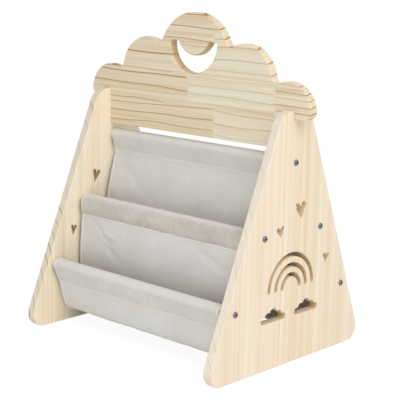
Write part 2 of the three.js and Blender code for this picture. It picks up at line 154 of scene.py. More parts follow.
def rounded_polygon(corners: Sequence[Triple]) -> Array:
    """A loop of straight lines whose corners are arcs that touch both lines.

    Args:
        corners: across, up and radius of each corner, anticlockwise.

    Returns:
        The loop's points.
    """
    places = np.array([corner[:2] for corner in corners], float)
    parts = []
    for index, (*_, radius) in enumerate(corners):
        corner = places[index]
        back = units(places[index - 1] - corner)
        ahead = units(places[(index + 1) % len(corners)] - corner)
        half = math.acos(back @ ahead) / 2
        centre = corner + units(back + ahead) * radius / math.sin(half)
        touch = radius / math.tan(half)
        start = angle_of(corner + back * touch - centre)
        end = angle_of(corner + ahead * touch - centre)
        clockwise = back[0] * ahead[1] - back[1] * ahead[0] > 0
        parts.append(arc(centre, radius, start, end, clockwise, step=min(1.5, radius / 2)))
    return closed(parts)


@dataclass(frozen=True)
class Lobe:
    """One round lobe of a cloud, as shares of the cloud's size."""

    across: float
    rise: float
    radius: float


@dataclass(frozen=True)
class Cloud:
    """A symmetric cloud of round lobes on a level base, with filleted valleys.

    Each lobe is an arc. A valley is an arc that touches both of its lobes from outside, so its
    centre is the upper crossing of the two lobes' circles, each grown by the valley's radius.
    """

    lobes: tuple[Lobe, ...]
    size: float
    lift: float
    base: float
    end_radius: float
    valley_radius: float
    middle: float = 0.0

    def outline(self, underside: Sequence[tuple[float, float]] = ()) -> Array:
        """The cloud's outline, anticlockwise.

        Args:
            underside: points from left to right that replace the straight base.

        Returns:
            The loop's points.
        """
        half = [
            (
                np.array([lobe.across, lobe.rise]) * self.size + [0, self.lift],
                lobe.radius * self.size,
            )
            for lobe in self.lobes
        ]
        mirrored = [(centre * [-1, 1], radius) for centre, radius in half[1:]]
        both = half[::-1] + mirrored
        lobes = [(centre + [self.middle, 0], radius) for centre, radius in both]
        right, left = self._end(lobes[0], 1), self._end(lobes[-1], -1)
        valleys = [self._valley(lobes[i], lobes[i + 1]) for i in range(len(lobes) - 1)]
        down = -math.pi / 2
        parts = [arc(right, self.end_radius, down, angle_of(right - lobes[0][0]))]
        stops = [right, *valleys, left]
        stretches = zip(lobes, stops, stops[1:], [*lobes[1:], None])
        for (centre, radius), start, end, following in stretches:
            parts.append(arc(centre, radius, angle_of(start - centre), angle_of(end - centre)))
            if following:
                turn = angle_of(centre - end), angle_of(following[0] - end)
                parts.append(arc(end, self.valley_radius, *turn, clockwise=True))
        parts.append(arc(left, self.end_radius, angle_of(left - lobes[-1][0]), down))
        parts.append(np.array(underside, float).reshape(-1, 2))
        return closed(parts)

    def _end(self, lobe: tuple[Array, float], side: int) -> Array:
        """Centre of the small arc that turns an outer lobe into the base.

        Args:
            lobe: its centre and radius.
            side: 1 on the right, -1 on the left.

        Returns:
            The centre.
        """
        centre, radius = lobe
        height = self.base + self.end_radius
        reach = math.sqrt((radius - self.end_radius) ** 2 - (height - centre[1]) ** 2)
        return np.array([centre[0] + side * reach, height])

    def _valley(self, right: tuple[Array, float], left: tuple[Array, float]) -> Array:
        """Centre of the fillet between two lobes.

        Args:
            right: centre and radius of the right one.
            left: those of the left one.

        Returns:
            The centre.
        """
        first, second = right[1] + self.valley_radius, left[1] + self.valley_radius
        span = left[0] - right[0]
        distance = np.linalg.norm(span)
        along = (first**2 - second**2 + distance**2) / 2 / distance
        aside = math.sqrt(first**2 - along**2)
        unit = span / distance
        return right[0] + unit * along + right_of(unit) * aside


@dataclass(frozen=True)
class Arch:
    """One slot of the rainbow: along an arc about a centre on the panel's middle line.

    Its round feet stop above that centre by the lift, where the arc's angle from the level is
    the angle whose sine is the lift over the radius.
    """

    height: float
    radius: float
    width: float = 8.0
    lift: float = 3.0

    def outline(self) -> Array:
        """The slot's outline, anticlockwise."""
        half, level = self.width / 2, self.height + self.lift
        right = math.asin(self.lift / self.radius)
        left = math.pi - right
        reach = self.radius * math.cos(right)
        return closed([
            arc((0, self.height), self.radius + half, right, left),
            arc((-reach, level), half, left, left + math.pi, step=0.8),
            arc((0, self.height), self.radius - half, left, right, clockwise=True),
            arc((reach, level), half, right + math.pi, right + math.tau, step=0.8),
        ])


@dataclass(frozen=True)
class Heart:
    """A heart by its place on a panel, as shares of half the foot's depth and of the height.

    Each lobe is an arc. Straight lines that touch the lobes meet in the tip below and in the
    cleft above.
    """

    across: float
    up: float
    width: float
    tall: float  # its height in its width
    lean: float
    lobe_share: float = 0.2
    cleft_share: float = 0.33

    def outline(self, foot_depth: float, panel_height: float) -> Array:
        """The heart's outline on a panel, anticlockwise.

        Args:
            foot_depth: of the panel.
            panel_height: of the panel.

        Returns:
            The loop's points.
        """
        width = self.width * panel_height
        radius, height = width * self.lobe_share, width * self.tall
        lobe = np.array([width / 2 - radius, height / 2 - radius])
        tip = np.array([0, -height / 2])
        cleft = np.array([0, height / 2 - height * self.cleft_share])
        start = self._touching(lobe - tip, radius, -1) - math.pi / 2
        end = self._touching(lobe - cleft, radius, 1) + math.pi / 2
        parts = [
            arc(lobe, radius, start, end, step=0.8),
            cleft[None],
            arc(lobe * [-1, 1], radius, math.pi - end, math.pi - start, step=0.8),
            tip[None],
        ]
        turn = math.radians(self.lean)
        turned = np.array([[math.cos(turn), math.sin(turn)], [-math.sin(turn), math.cos(turn)]])
        return closed(parts) @ turned + [self.across * foot_depth / 2, self.up * panel_height]

    @staticmethod
    def _touching(reach: Array, radius: float, hand: int) -> float:
        """Direction of a line that touches a circle, seen from a point that far from it."""
        return angle_of(reach) + hand * math.asin(radius / np.linalg.norm(reach))


# Meshes


@dataclass
class Shell:
    """A surface as arrays: vertices, faces of three or four corners, and what lies on them."""

    vertices: Array
    faces: list[Array]
    normals: Array | None = None
    uv: Array | None = None
    tone: Array | None = None

    @staticmethod
    def joined(shells: Sequence["Shell"]) -> "Shell":
        """One shell of several, with their vertices numbered on.

        Args:
            shells: the several shells.

        Returns:
            The one, with normals and tones if all have them.
        """
        starts = np.cumsum([0] + [len(shell.vertices) for shell in shells])
        faces = [face + start for shell, start in zip(shells, starts) for face in shell.faces]
        normals = [shell.normals for shell in shells if shell.normals is not None]
        tones = [shell.tone for shell in shells if shell.tone is not None]
        return Shell(
            np.concatenate([shell.vertices for shell in shells]),
            faces,
            np.concatenate(normals) if len(normals) == len(shells) else None,
            tone=np.concatenate(tones) if len(tones) == len(shells) else None,
        )

    def placed(self, axes: Array, origin: Sequence[float]) -> "Shell":
        """The shell with its own axes laid along the rows of a matrix, about an origin.

        Args:
            axes: the matrix.
            origin: the origin.

        Returns:
            The placed shell.
        """
        vertices = self.vertices @ axes + np.asarray(origin)
        normals = None if self.normals is None else self.normals @ axes
        return Shell(vertices, self.faces, normals, self.uv, self.tone)

    def volume(self) -> float:
        """Signed volume: positive where the faces point outwards."""
        total = 0.0
        for faces in self.faces:
            corners = self.vertices[faces]
            for turn in range(1, faces.shape[1] - 1):
                cross = np.cross(corners[:, turn], corners[:, turn + 1])
                total += float((corners[:, 0] * cross).sum()) / 6
        return total

    def outward(self) -> "Shell":
        """The shell with its faces turned to point outwards."""
        if self.volume() < 0:
            self.faces = [faces[:, ::-1] for faces in self.faces]
        return self

    def as_object(self, name: str, material: Material, crease: float | None = None) -> Object:
        """Makes the shell an object at the origin, in metres.

        Args:
            name: the object's name.
            material: its material.
            crease: where given, doubles are merged and edges sharper than this angle in
                degrees are left sharp.

        Returns:
            The object, linked to the scene.
        """
        mesh = bpy.data.meshes.new(name)
        corners = np.concatenate([faces.ravel() for faces in self.faces]).astype(np.int32)
        sizes = np.concatenate([np.full(len(faces), faces.shape[1]) for faces in self.faces])
        mesh.vertices.add(len(self.vertices))
        mesh.vertices.foreach_set("co", (self.vertices * MILLIMETRE).astype(np.float32).ravel())
        mesh.loops.add(len(corners))
        mesh.loops.foreach_set("vertex_index", corners)
        mesh.polygons.add(len(sizes))
        mesh.polygons.foreach_set("loop_start", (np.cumsum(sizes) - sizes).astype(np.int32))
        mesh.update(calc_edges=True)
        mesh.validate()
        mesh.shade_smooth()
        if self.uv is not None:
            layer = mesh.uv_layers.new(name="Weave")
            layer.uv.foreach_set("vector", self.uv[corners].astype(np.float32).ravel())
        if self.tone is not None:
            values = mesh.attributes.new("Tone", "FLOAT", "POINT")
            values.data.foreach_set("value", self.tone.astype(np.float32))
        if self.normals is not None:
            mesh.normals_split_custom_set_from_vertices(self.normals.tolist())
        if crease is not None:
            self._weld(mesh)
            mesh.set_sharp_from_angle(angle=math.radians(crease))
        mesh.materials.append(material)
        made = bpy.data.objects.new(name, mesh)
        bpy.context.scene.collection.objects.link(made)
        log.info("%s: %d faces", name, len(mesh.polygons))
        return made

    @staticmethod
    def _weld(mesh: bpy.types.Mesh) -> None:
        """Merges doubles, such as a pole's, and points the faces outwards.

        Args:
            mesh: the mesh, which is changed.
        """
        closeness = 0.005 * MILLIMETRE
        work = bmesh.new()
        work.from_mesh(mesh)
        bmesh.ops.remove_doubles(work, verts=work.verts, dist=closeness)
        bmesh.ops.dissolve_degenerate(work, edges=work.edges, dist=closeness)
        bmesh.ops.recalc_face_normals(work, faces=work.faces)
        work.to_mesh(mesh)
        work.free()


def grid_faces(rows: int, columns: int, wrapped: bool) -> Array:
    """Quads of a grid whose vertices run along its rows.

    Args:
        rows: number of rows.
        columns: number of columns.
        wrapped: whether the last column meets the first.

    Returns:
        The quads' corner numbers.
    """
    row = np.arange(rows - 1)[:, None]
    column = np.arange(columns if wrapped else columns - 1)[None]
    following = (column + 1) % columns
    corners = np.broadcast_arrays(
        row * columns + column,
        (row + 1) * columns + column,
        (row + 1) * columns + following,
        row * columns + following,
    )
    return np.stack(corners, -1).reshape(-1, 4)


def filled(loops: Sequence[Array]) -> Array:
    """Triangles that fill the first loop and leave the others open, anticlockwise.

    Args:
        loops: the points of each loop.

    Returns:
        The triangles' corner numbers.
    """
    points = np.concatenate(loops)
    starts = np.cumsum([0] + [len(loop) for loop in loops])
    rims = [start + np.arange(len(loop)) for loop, start in zip(loops, starts)]
    edges = np.concatenate([np.stack([rim, np.roll(rim, -1)], 1) for rim in rims])
    flat = bpy.data.meshes.new("fill")
    flat.from_pydata(np.pad(points, ((0, 0), (0, 1))).tolist(), edges.tolist(), [])
    work = bmesh.new()
    work.from_mesh(flat)
    bmesh.ops.triangle_fill(work, use_beauty=True, use_dissolve=False, edges=work.edges[:])
    triangles = np.array([[vertex.index for vertex in face.verts] for face in work.faces])
    work.free()
    bpy.data.meshes.remove(flat)
    a, b, c = (points[triangles[:, corner]] for corner in range(3))
    turning = (b - a)[:, 0] * (c - a)[:, 1] - (b - a)[:, 1] * (c - a)[:, 0]
    triangles[turning < 0] = triangles[turning < 0][:, ::-1]
    return triangles


@dataclass
class Board:
    """A flat board with holes whose edges are rounded all round.

    Its loops run with the wood on their left, the outline first, and the walls of its holes have
    a tone of one. Across the thickness the edge is a quarter circle, a straight wall and a
    quarter circle: at an angle from the wall, the surface lies in from the outline by the
    rounding times one less the cosine, and out from the wall by the rounding times its sine.
    """

    thickness: float
    loops: list[tuple[Array, Array | float]]
    arc_steps: int = 5

    def shell(self) -> Shell:
        """The board's surface, its outline in the first two axes and its depth in the third."""
        bands, upper, lower, start = [], [], [], 0
        for outline, rounding in self.loops:
            rim = len(outline)
            band = self._band(outline, np.broadcast_to(np.asarray(rounding, float), rim))
            band.tone = np.full(len(band.vertices), float(len(bands) > 0))
            bands.append(band)
            end = start + len(band.vertices)
            upper.append(np.arange(start, start + rim))
            lower.append(np.arange(end - rim, end))
            start = end
        faces = filled([band.vertices[: len(rim), :2] for band, rim in zip(bands, upper)])
        whole = Shell.joined(bands)
        whole.faces += [np.concatenate(upper)[faces], np.concatenate(lower)[faces][:, ::-1]]
        return whole

    def _band(self, outline: Array, rounding: Array) -> Shell:
        """The edge along one loop, from the upper face over the wall to the lower face.

        Args:
            outline: the loop's points.
            rounding: the edge's radius at each.

        Returns:
            The edge's surface.
        """
        out = right_of(units(np.roll(outline, -1, 0) - outline))
        normal = units(out + np.roll(out, 1, 0))
        mitre = normal / np.maximum((normal * out).sum(1, keepdims=True), 0.6)
        quarter = np.linspace(math.pi / 2, 0, self.arc_steps + 1)
        angle = np.concatenate([quarter, -quarter[::-1]])[:, None]
        level = np.where(np.arange(len(angle)) <= self.arc_steps, 1, -1)[:, None]
        inset = rounding * (1 - np.cos(angle))
        depth = level * (self.thickness / 2 - rounding) + rounding * np.sin(angle)
        place = outline - mitre * inset[..., None]
        vertices = np.concatenate([place, depth[..., None]], 2)
        tilt = np.broadcast_to(angle, inset.shape)
        normals = np.concatenate([normal * np.cos(tilt)[..., None], np.sin(tilt)[..., None]], 2)
        faces = grid_faces(len(angle), len(outline), wrapped=True)
        return Shell(vertices.reshape(-1, 3), [faces], normals.reshape(-1, 3))


def turned(along: Array, radii: Array) -> Shell:
    """A solid turned about X: at each place along it, a ring of the given radii.

    Args:
        along: place of each ring.
        radii: radius of each ring, or of each ring at each of even angles.

    Returns:
        The surface, closed where its first and last ring have no radius.
    """
    radii = radii if radii.ndim == 2 else np.repeat(radii[:, None], RING_POINTS, 1)
    angle = np.linspace(0, math.tau, radii.shape[1], endpoint=False)
    x = np.broadcast_to(along[:, None], radii.shape)
    vertices = np.stack([x, radii * np.cos(angle), radii * np.sin(angle)], -1).reshape(-1, 3)
    return Shell(vertices, [grid_faces(*radii.shape, wrapped=True)])


# Finishes


def linear(code: str) -> tuple[float, float, float, float]:
    """Turns an sRGB hex colour into the linear one that a shader takes."""
    values = [int(code[i : i + 2], 16) / 255 for i in (1, 3, 5)]
    return *[v / 12.92 if v <= 0.04045 else ((v + 0.055) / 1.055) ** 2.4 for v in values], 1.0


# Numbered inputs: a colour Mix takes its share at 0 and its colours at 6 and 7, and a MapRange its
# value at 0, the range it comes from at 1 and 2, and the range it goes to at 3 and 4
COLOUR = {"output": 2, "data_type": "RGBA"}

# How far the shares on the wood's ramps reach, in millimetres
JOINT_REACH = 400.0
PITH_REACH = 400.0
DEPTH_REACH = 100.0
WIDEST_SPACING = 40.0
STREAK_LENGTH = 700.0

# Brings a noise, which seldom leaves its middle by more than a quarter, to about one either way
NOISE_GAIN = 4.0


def add(
    tree: Tree,
    kind: str,
    inputs: dict[int | str, object] | None = None,
    operation: str | None = None,
    output: int | str = 0,
    stops: Sequence[tuple[float, Sequence[float]]] = (),
    stepped: bool = False,
    **settings: object,
) -> Socket | None:
    """Adds one node with its settings, values and links.

    Args:
        tree: the node tree.
        kind: the node's type, without its ShaderNode.
        inputs: a value or a socket for each input that is set, by number or name.
        operation: what a node of mathematics does.
        output: which of its outputs to return.
        stops: on a colour ramp, the place and value of each stop.
        stepped: whether the ramp keeps each stop's value up to the next.
        settings: the node's own properties.

    Returns:
        The output socket, whose node is its .node, or nothing where the node has none.
    """
    made = tree.nodes.new("ShaderNode" + kind)
    if operation:
        made.operation = operation
    for name, value in settings.items():
        setattr(made, name, value)
    if stops:
        made.color_ramp.interpolation = "CONSTANT" if stepped else "LINEAR"
        elements = made.color_ramp.elements
        while len(elements) < len(stops):
            elements.new(1.0)
        for element, (place, value) in zip(elements, stops):
            element.position = place
            element.color = (*value, 1.0)
    for name, value in (inputs or {}).items():
        if isinstance(value, bpy.types.NodeSocket):
            tree.links.new(value, made.inputs[name])
        else:
            made.inputs[name].default_value = value
    return made.outputs[output] if made.outputs else None


def new_material(name: str) -> tuple[Material, Tree]:
    """Makes an empty material.

    Args:
        name: its name.

    Returns:
        The material and its node tree.
    """
    material = bpy.data.materials.new(name)
    material.use_nodes = True
    material.node_tree.nodes.clear()
    return material, material.node_tree


@dataclass(frozen=True)
class Growth:
    """How the wood of one length of a stave grew.

    Its rings lie about a pith, whose place is given from the stave's lower edge and from the
    board's middle, and which drifts sideways along the grain.
    """

    tone: float  # 0 for the palest wood, 1 for the darkest
    contrast: float  # strength of the latewood lines
    spacing: float  # between strong latewood lines, in millimetres
    pith: float
    depth: float
    drift: float  # sideways for each millimetre of grain


@dataclass(frozen=True)
class Pine:
    """Solid pine, glued up from staves, planed and sanded, unlacquered.

    The pattern is worked out through the whole solid, so that each latewood line runs on over
    the edges. Pale earlywood darkens to a thin brown latewood line that ends sharply on one
    side, with streaks and fine fibres along the grain. Sanded wood is dull, with a faint gloss.
    Places and widths are in millimetres.
    """

    name: str
    grain: int  # axis along the grain
    stave: int  # axis across the staves
    stave_width: float
    first_stave: float  # place of the lowest stave's lower edge
    growths: tuple[tuple[Growth, ...], ...]  # of each stave's lengths, the lowest stave first
    middle: float = 0.0  # place of the board's middle across its thickness
    joints: tuple[tuple[float, float], ...] = ()  # places of each stave's finger joints
    finger: float = 2.4  # half the pitch of a joint's fingers
    finger_slope: float = 3.0  # a finger's length over its half width
    pale: str = "#f3ead6"
    dark: str = "#dccba6"
    blush: str = "#efd9c2"
    blushing: float = 0.4
    line: str = "#bf9658"
    strong_line: str = "#97652f"
    line_share: float = 0.16  # of each ring, that its latewood takes
    faint: float = 0.14  # strength of the faint lines between the strong ones
    faint_rate: float = 3.6  # faint lines for each strong one
    unevenness: float = 0.5  # of the rings' spacing
    sway: float = 6.0  # how far the rings swing to either side
    sway_rates: tuple[float, float] = (0.0045, 0.012)  # swings along and across the grain
    streak: float = 0.4
    streak_width: float = 9.0
    fibre_width: float = 1.8  # real fibres, 0.03 mm wide, are too fine for the picture
    edge: str = "#eed7b0"
    edge_share: float = 0.35
    edge_line: str = "#aa722c"
    edge_strength: float = 3.2
    # cut: the holes' walls, browned by the cutter and darkened with painted shade
    cut: str = "#d8ba8c"
    cut_share: float = 0.7
    roughness: float = 0.6
    seed: float = 3.0

    def material(self) -> Material:
        """Builds the shader.

        Returns:
            The material.
        """
        material, tree = new_material(self.name)
        place = add(tree, "TexCoord", output="Object")
        scaled = add(tree, "VectorMath", {0: place, "Scale": 1 / MILLIMETRE}, "SCALE")
        split = add(tree, "SeparateXYZ", {0: scaled}).node
        thick = 3 - self.grain - self.stave
        along, across = split.outputs[self.grain], split.outputs[self.stave]
        deep = add(tree, "Math", {0: split.outputs[thick], 1: self.middle}, "SUBTRACT")
        within, block = self._staves(tree, along, across)
        drawn, chance = self._lines(tree, (along, within, deep), block)
        fibre = self._stretched(tree, (along, across, deep), block, self.fibre_width, 4.0)
        body = self._body(tree, (along, across, deep), block, fibre)
        tones = {6: linear(self.line), 7: linear(self.strong_line)}
        line = add(tree, "Mix", {0: chance, **tones}, **COLOUR)
        overlaid = add(tree, "Mix", {0: drawn, 6: body, 7: line}, **COLOUR)
        edge, turned_away = self._edge(tree, thick, drawn, body)
        colour = add(tree, "Mix", {0: turned_away, 6: overlaid, 7: edge}, **COLOUR)
        relief = add(tree, "Math", {0: drawn, 1: 0.4, 2: fibre}, "MULTIPLY_ADD")
        shader = add(tree, "BsdfPrincipled", {
            "Base Color": colour,
            "Roughness": add(
                tree, "MapRange", {0: fibre, 3: self.roughness - 0.06, 4: self.roughness + 0.06},
            ),
            "Normal": add(
                tree, "Bump", {"Strength": 0.25, "Distance": 0.15 * MILLIMETRE, "Height": relief},
            ),
            "IOR": 1.5,
        })
        add(tree, "OutputMaterial", {0: shader})
        return material

    def _looked_up(self, tree: Tree, number: Socket, values: Sequence[Sequence[float]]) -> Socket:
        """Looks up a whole number's three values on a stepped ramp.

        Args:
            tree: the node tree.
            number: which of the values.
            values: three for each number.

        Returns:
            The values as a colour.
        """
        total = len(values)
        share = add(tree, "Math", {0: number, 1: 1 / total, 2: 0.5 / total}, "MULTIPLY_ADD")
        stops = [(index / total, value) for index, value in enumerate(values)]
        return add(tree, "ValToRGB", {0: share}, stops=stops, stepped=True)

    def _staves(self, tree: Tree, along: Socket, across: Socket) -> tuple[Socket, Socket]:
        """Finds the stave and the length of it between its finger joints.

        A joint is a zigzag: its place along the grain plus the fingers' slope times the distance
        from the nearest finger's tip.

        Args:
            tree: the node tree.
            along: place along the grain.
            across: place across the staves.

        Returns:
            The place from the stave's lower edge, and a number for the length of wood.
        """
        up = add(tree, "Math", {0: across, 1: self.first_stave}, "SUBTRACT")
        share = add(tree, "Math", {0: up, 1: self.stave_width}, "DIVIDE")
        row = add(tree, "Math", {0: share}, "FLOOR")
        whole = add(tree, "Math", {0: row, 1: self.stave_width}, "MULTIPLY")
        within = add(tree, "Math", {0: up, 1: whole}, "SUBTRACT")
        if not self.joints:
            return within, row
        half = 1 / 2 / JOINT_REACH
        places = [[place * half + 0.5 for place in (*pair, JOINT_REACH)] for pair in self.joints]
        joint = add(tree, "SeparateColor", {0: self._looked_up(tree, row, places)}).node
        finger = add(tree, "Math", {0: up, 1: self.finger}, "PINGPONG")
        toothed = add(tree, "Math", {0: finger, 1: self.finger_slope, 2: along}, "MULTIPLY_ADD")
        at = add(tree, "Math", {0: toothed, 1: half, 2: 0.5}, "MULTIPLY_ADD")
        first, second = (
            add(tree, "Math", {0: at, 1: joint.outputs[index]}, "GREATER_THAN")
            for index in (0, 1)
        )
        length = add(tree, "Math", {0: first, 1: second}, "ADD")
        return within, add(tree, "Math", {0: row, 1: 3.0, 2: length}, "MULTIPLY_ADD")

    def _lines(self, tree: Tree, place: Place, block: Socket) -> tuple[Socket, Socket]:
        """Works out the latewood lines.

        The ring's number is the distance from the pith, swayed a little, over the spacing. Each
        whole ring ends in a strong line, with three or four faint ones between.

        Args:
            tree: the node tree.
            place: along the grain, from the stave's lower edge, and from the board's middle.
            block: number of the length of wood.

        Returns:
            The strength of the lines, and a chance value for each ring.
        """
        along, within, _ = place
        growths = [growth for row in self.growths for growth in row]
        strengths = [
            (one.contrast, one.spacing / WIDEST_SPACING, one.drift + 0.5) for one in growths
        ]
        piths = [
            (one.pith / 2 / PITH_REACH + 0.5, one.depth / 2 / DEPTH_REACH + 0.5, 0.0)
            for one in growths
        ]
        strength, about = (
            add(tree, "SeparateColor", {0: self._looked_up(tree, block, values)}).node
            for values in (strengths, piths)
        )
        radius = self._radius(tree, place, strength.outputs[2], about)

        # Each length of wood reads the noises at a place of its own
        sway_place = add(tree, "CombineXYZ", {
            0: add(tree, "Math", {0: along, 1: self.sway_rates[0]}, "MULTIPLY"),
            1: add(tree, "Math", {0: within, 1: self.sway_rates[1]}, "MULTIPLY"),
            2: add(tree, "Math", {0: block, 1: 5.7, 2: self.seed}, "MULTIPLY_ADD"),
        })
        sway = add(
            tree, "TexNoise", {"Vector": sway_place, "Scale": 1.0, "Detail": 1.0, "Roughness": 0.4},
        )
        about_zero = add(tree, "Math", {0: sway, 1: -0.5}, "ADD")
        swing = {0: about_zero, 1: self.sway * NOISE_GAIN, 2: radius}
        swayed = add(tree, "Math", swing, "MULTIPLY_ADD")
        spacing = add(tree, "Math", {0: strength.outputs[1], 1: WIDEST_SPACING}, "MULTIPLY")
        even = add(tree, "Math", {0: swayed, 1: spacing}, "DIVIDE")
        ring_place = add(tree, "Math", {0: even, 1: 0.9, 2: self.seed}, "MULTIPLY_ADD")
        uneven = add(tree, "TexNoise", {"W": ring_place, "Scale": 1.0}, noise_dimensions="1D")
        more = add(tree, "Math", {0: uneven, 1: -0.5}, "ADD")
        rings = add(tree, "Math", {0: more, 1: self.unevenness, 2: even}, "MULTIPLY_ADD")
        number = add(tree, "Math", {0: rings}, "FLOOR")
        named = add(tree, "Math", {0: block, 1: 19.3, 2: number}, "MULTIPLY_ADD")
        chance = add(tree, "TexWhiteNoise", {"W": named}, noise_dimensions="1D")

        strong = self._latewood(tree, rings)
        closer = add(tree, "Math", {0: rings, 1: self.faint_rate}, "MULTIPLY")
        faint = self._latewood(tree, closer)
        ring_strength = add(tree, "MapRange", {0: chance, 3: 0.6, 4: 1.0})
        strong_part = add(tree, "Math", {0: strong, 1: ring_strength}, "MULTIPLY")
        both = add(tree, "Math", {0: faint, 1: self.faint, 2: strong_part}, "MULTIPLY_ADD")
        drawn = add(tree, "Math", {0: both, 1: strength.outputs[0]}, "MULTIPLY")
        drawn.node.use_clamp = True
        return drawn, chance

    def _radius(
        self, tree: Tree, place: Place, shifted_drift: Socket, about: bpy.types.Node,
    ) -> Socket:
        """Distance from the pith, as the length of the sideways and inward distances.

        Args:
            tree: the node tree.
            place: along the grain, from the stave's lower edge, and from the board's middle.
            shifted_drift: the pith's drift, plus one half.
            about: the node that gives the pith's place and depth as shares of their reach.

        Returns:
            The distance, in millimetres.
        """
        along, within, deep = place
        drift = add(tree, "Math", {0: shifted_drift, 1: 0.5}, "SUBTRACT")
        moved = add(tree, "Math", {0: along, 1: drift, 2: within}, "MULTIPLY_ADD")
        pith, depth = (
            add(tree, "MapRange", {0: about.outputs[index], 3: -reach, 4: reach})
            for index, reach in enumerate((PITH_REACH, DEPTH_REACH))
        )
        sideways = add(tree, "Math", {0: moved, 1: pith}, "SUBTRACT")
        inwards = add(tree, "Math", {0: deep, 1: depth}, "SUBTRACT")
        both = add(tree, "CombineXYZ", {0: sideways, 1: inwards})
        return add(tree, "VectorMath", {0: both}, "LENGTH", output="Value")

    def _latewood(self, tree: Tree, rings: Socket) -> Socket:
        """Strength over each ring: nothing, a slow rise to a thin line, and a sharp end.

        Args:
            tree: the node tree.
            rings: the ring's number, with its fraction.

        Returns:
            The strength.
        """
        part = add(tree, "Math", {0: rings}, "FRACT")
        shares = ((1.0, 0.0), (0.6, 0.14), (0.34, 0.3), (0.26, 1.0), (0.12, 0.9), (0.0, 0.0))
        stops = [(1 - self.line_share * before, (value,) * 3) for before, value in shares]
        return add(tree, "ValToRGB", {0: part}, stops=stops)

    def _stretched(
        self, tree: Tree, place: Place, block: Socket, width: float, detail: float,
    ) -> Socket:
        """Noise drawn out along the grain.

        Args:
            tree: the node tree.
            place: along the grain, across it and from the board's middle.
            block: number of the length of wood.
            width: of a streak, in millimetres.
            detail: how many finer levels it has.

        Returns:
            The noise, about one half.
        """
        vector = add(tree, "CombineXYZ", {
            axis: add(tree, "Math", {0: way, 1: 1 / size}, "MULTIPLY")
            for axis, (way, size) in enumerate(zip(place, (STREAK_LENGTH, width, width)))
        })
        own_place = add(tree, "Math", {0: block, 1: 7.3, 2: self.seed}, "MULTIPLY_ADD")
        apart = add(tree, "CombineXYZ", {0: own_place})
        moved = add(tree, "VectorMath", {0: vector, 1: apart}, "ADD")
        return add(
            tree, "TexNoise", {"Vector": moved, "Scale": 1.0, "Detail": detail, "Roughness": 0.55},
        )

    def _body(self, tree: Tree, place: Place, block: Socket, fibre: Socket) -> Socket:
        """Colour between the lines: pale to dark by the length's tone, streaks and fibres.

        Args:
            tree: the node tree.
            place: along the grain, across it and from the board's middle.
            block: number of the length of wood.
            fibre: the fine fibres.

        Returns:
            The colour.
        """
        by_length = [(growth.tone,) * 3 for row in self.growths for growth in row]
        tone = self._looked_up(tree, block, by_length)
        streak = self._stretched(tree, place, block, self.streak_width, 2.5)
        broad = self._stretched(tree, place, block, self.streak_width * 4, 1.0)
        centred = add(tree, "Math", {0: streak, 1: -0.5}, "ADD")
        streaks = {0: centred, 1: self.streak * NOISE_GAIN, 2: tone}
        streaked = add(tree, "Math", streaks, "MULTIPLY_ADD")
        fine = add(tree, "Math", {0: fibre, 1: -0.5}, "ADD")
        toned = add(tree, "Math", {0: fine, 1: 0.5, 2: streaked}, "MULTIPLY_ADD")
        toned.node.use_clamp = True
        tones = {6: linear(self.pale), 7: linear(self.dark)}
        body = add(tree, "Mix", {0: toned, **tones}, **COLOUR)
        blushing = add(tree, "MapRange", {0: broad, 1: 0.45, 2: 0.65, 3: 0.0, 4: self.blushing})
        return add(tree, "Mix", {0: blushing, 6: body, 7: linear(self.blush)}, **COLOUR)

    def _edge(
        self, tree: Tree, thick: int, drawn: Socket, body: Socket,
    ) -> tuple[Socket, Socket]:
        """Colours the edges, where the wood is cut across its fibres and each line ends as a dash.

        The outer edges are sanded to their own tone, and the walls of the holes are browned by
        the cutter and darkened further with painted shade.

        Args:
            tree: the node tree.
            thick: axis across the board's thickness.
            drawn: strength of the lines.
            body: colour between the lines.

        Returns:
            The edges' colour, and how far the surface turns away from the board's faces.
        """
        normal = add(tree, "TexCoord", output="Normal")
        facing = add(tree, "SeparateXYZ", {0: normal}, output=thick)
        flat = add(tree, "Math", {0: facing}, "ABSOLUTE")
        turned_away = add(tree, "MapRange", {0: flat, 1: 0.6, 2: 0.97, 3: 1.0, 4: 0.0})
        in_hole = add(tree, "Attribute", output="Fac", attribute_name="Tone")
        on_edge = add(tree, "Math", {0: turned_away, 1: self.edge_share}, "MULTIPLY")
        sanded = add(tree, "Mix", {0: on_edge, 6: body, 7: linear(self.edge)}, **COLOUR)
        crossing = add(tree, "Math", {0: drawn, 1: self.edge_strength}, "MULTIPLY")
        crossing.node.use_clamp = True
        dashed = add(tree, "Mix", {0: crossing, 6: sanded, 7: linear(self.edge_line)}, **COLOUR)
        # Painted shade with the cutter's browning: the holes' walls take the cut colour
        in_wall = add(tree, "Math", {0: in_hole, 1: self.cut_share}, "MULTIPLY")
        walled = add(tree, "Mix", {0: in_wall, 6: dashed, 7: linear(self.cut)}, **COLOUR)
        return walled, turned_away


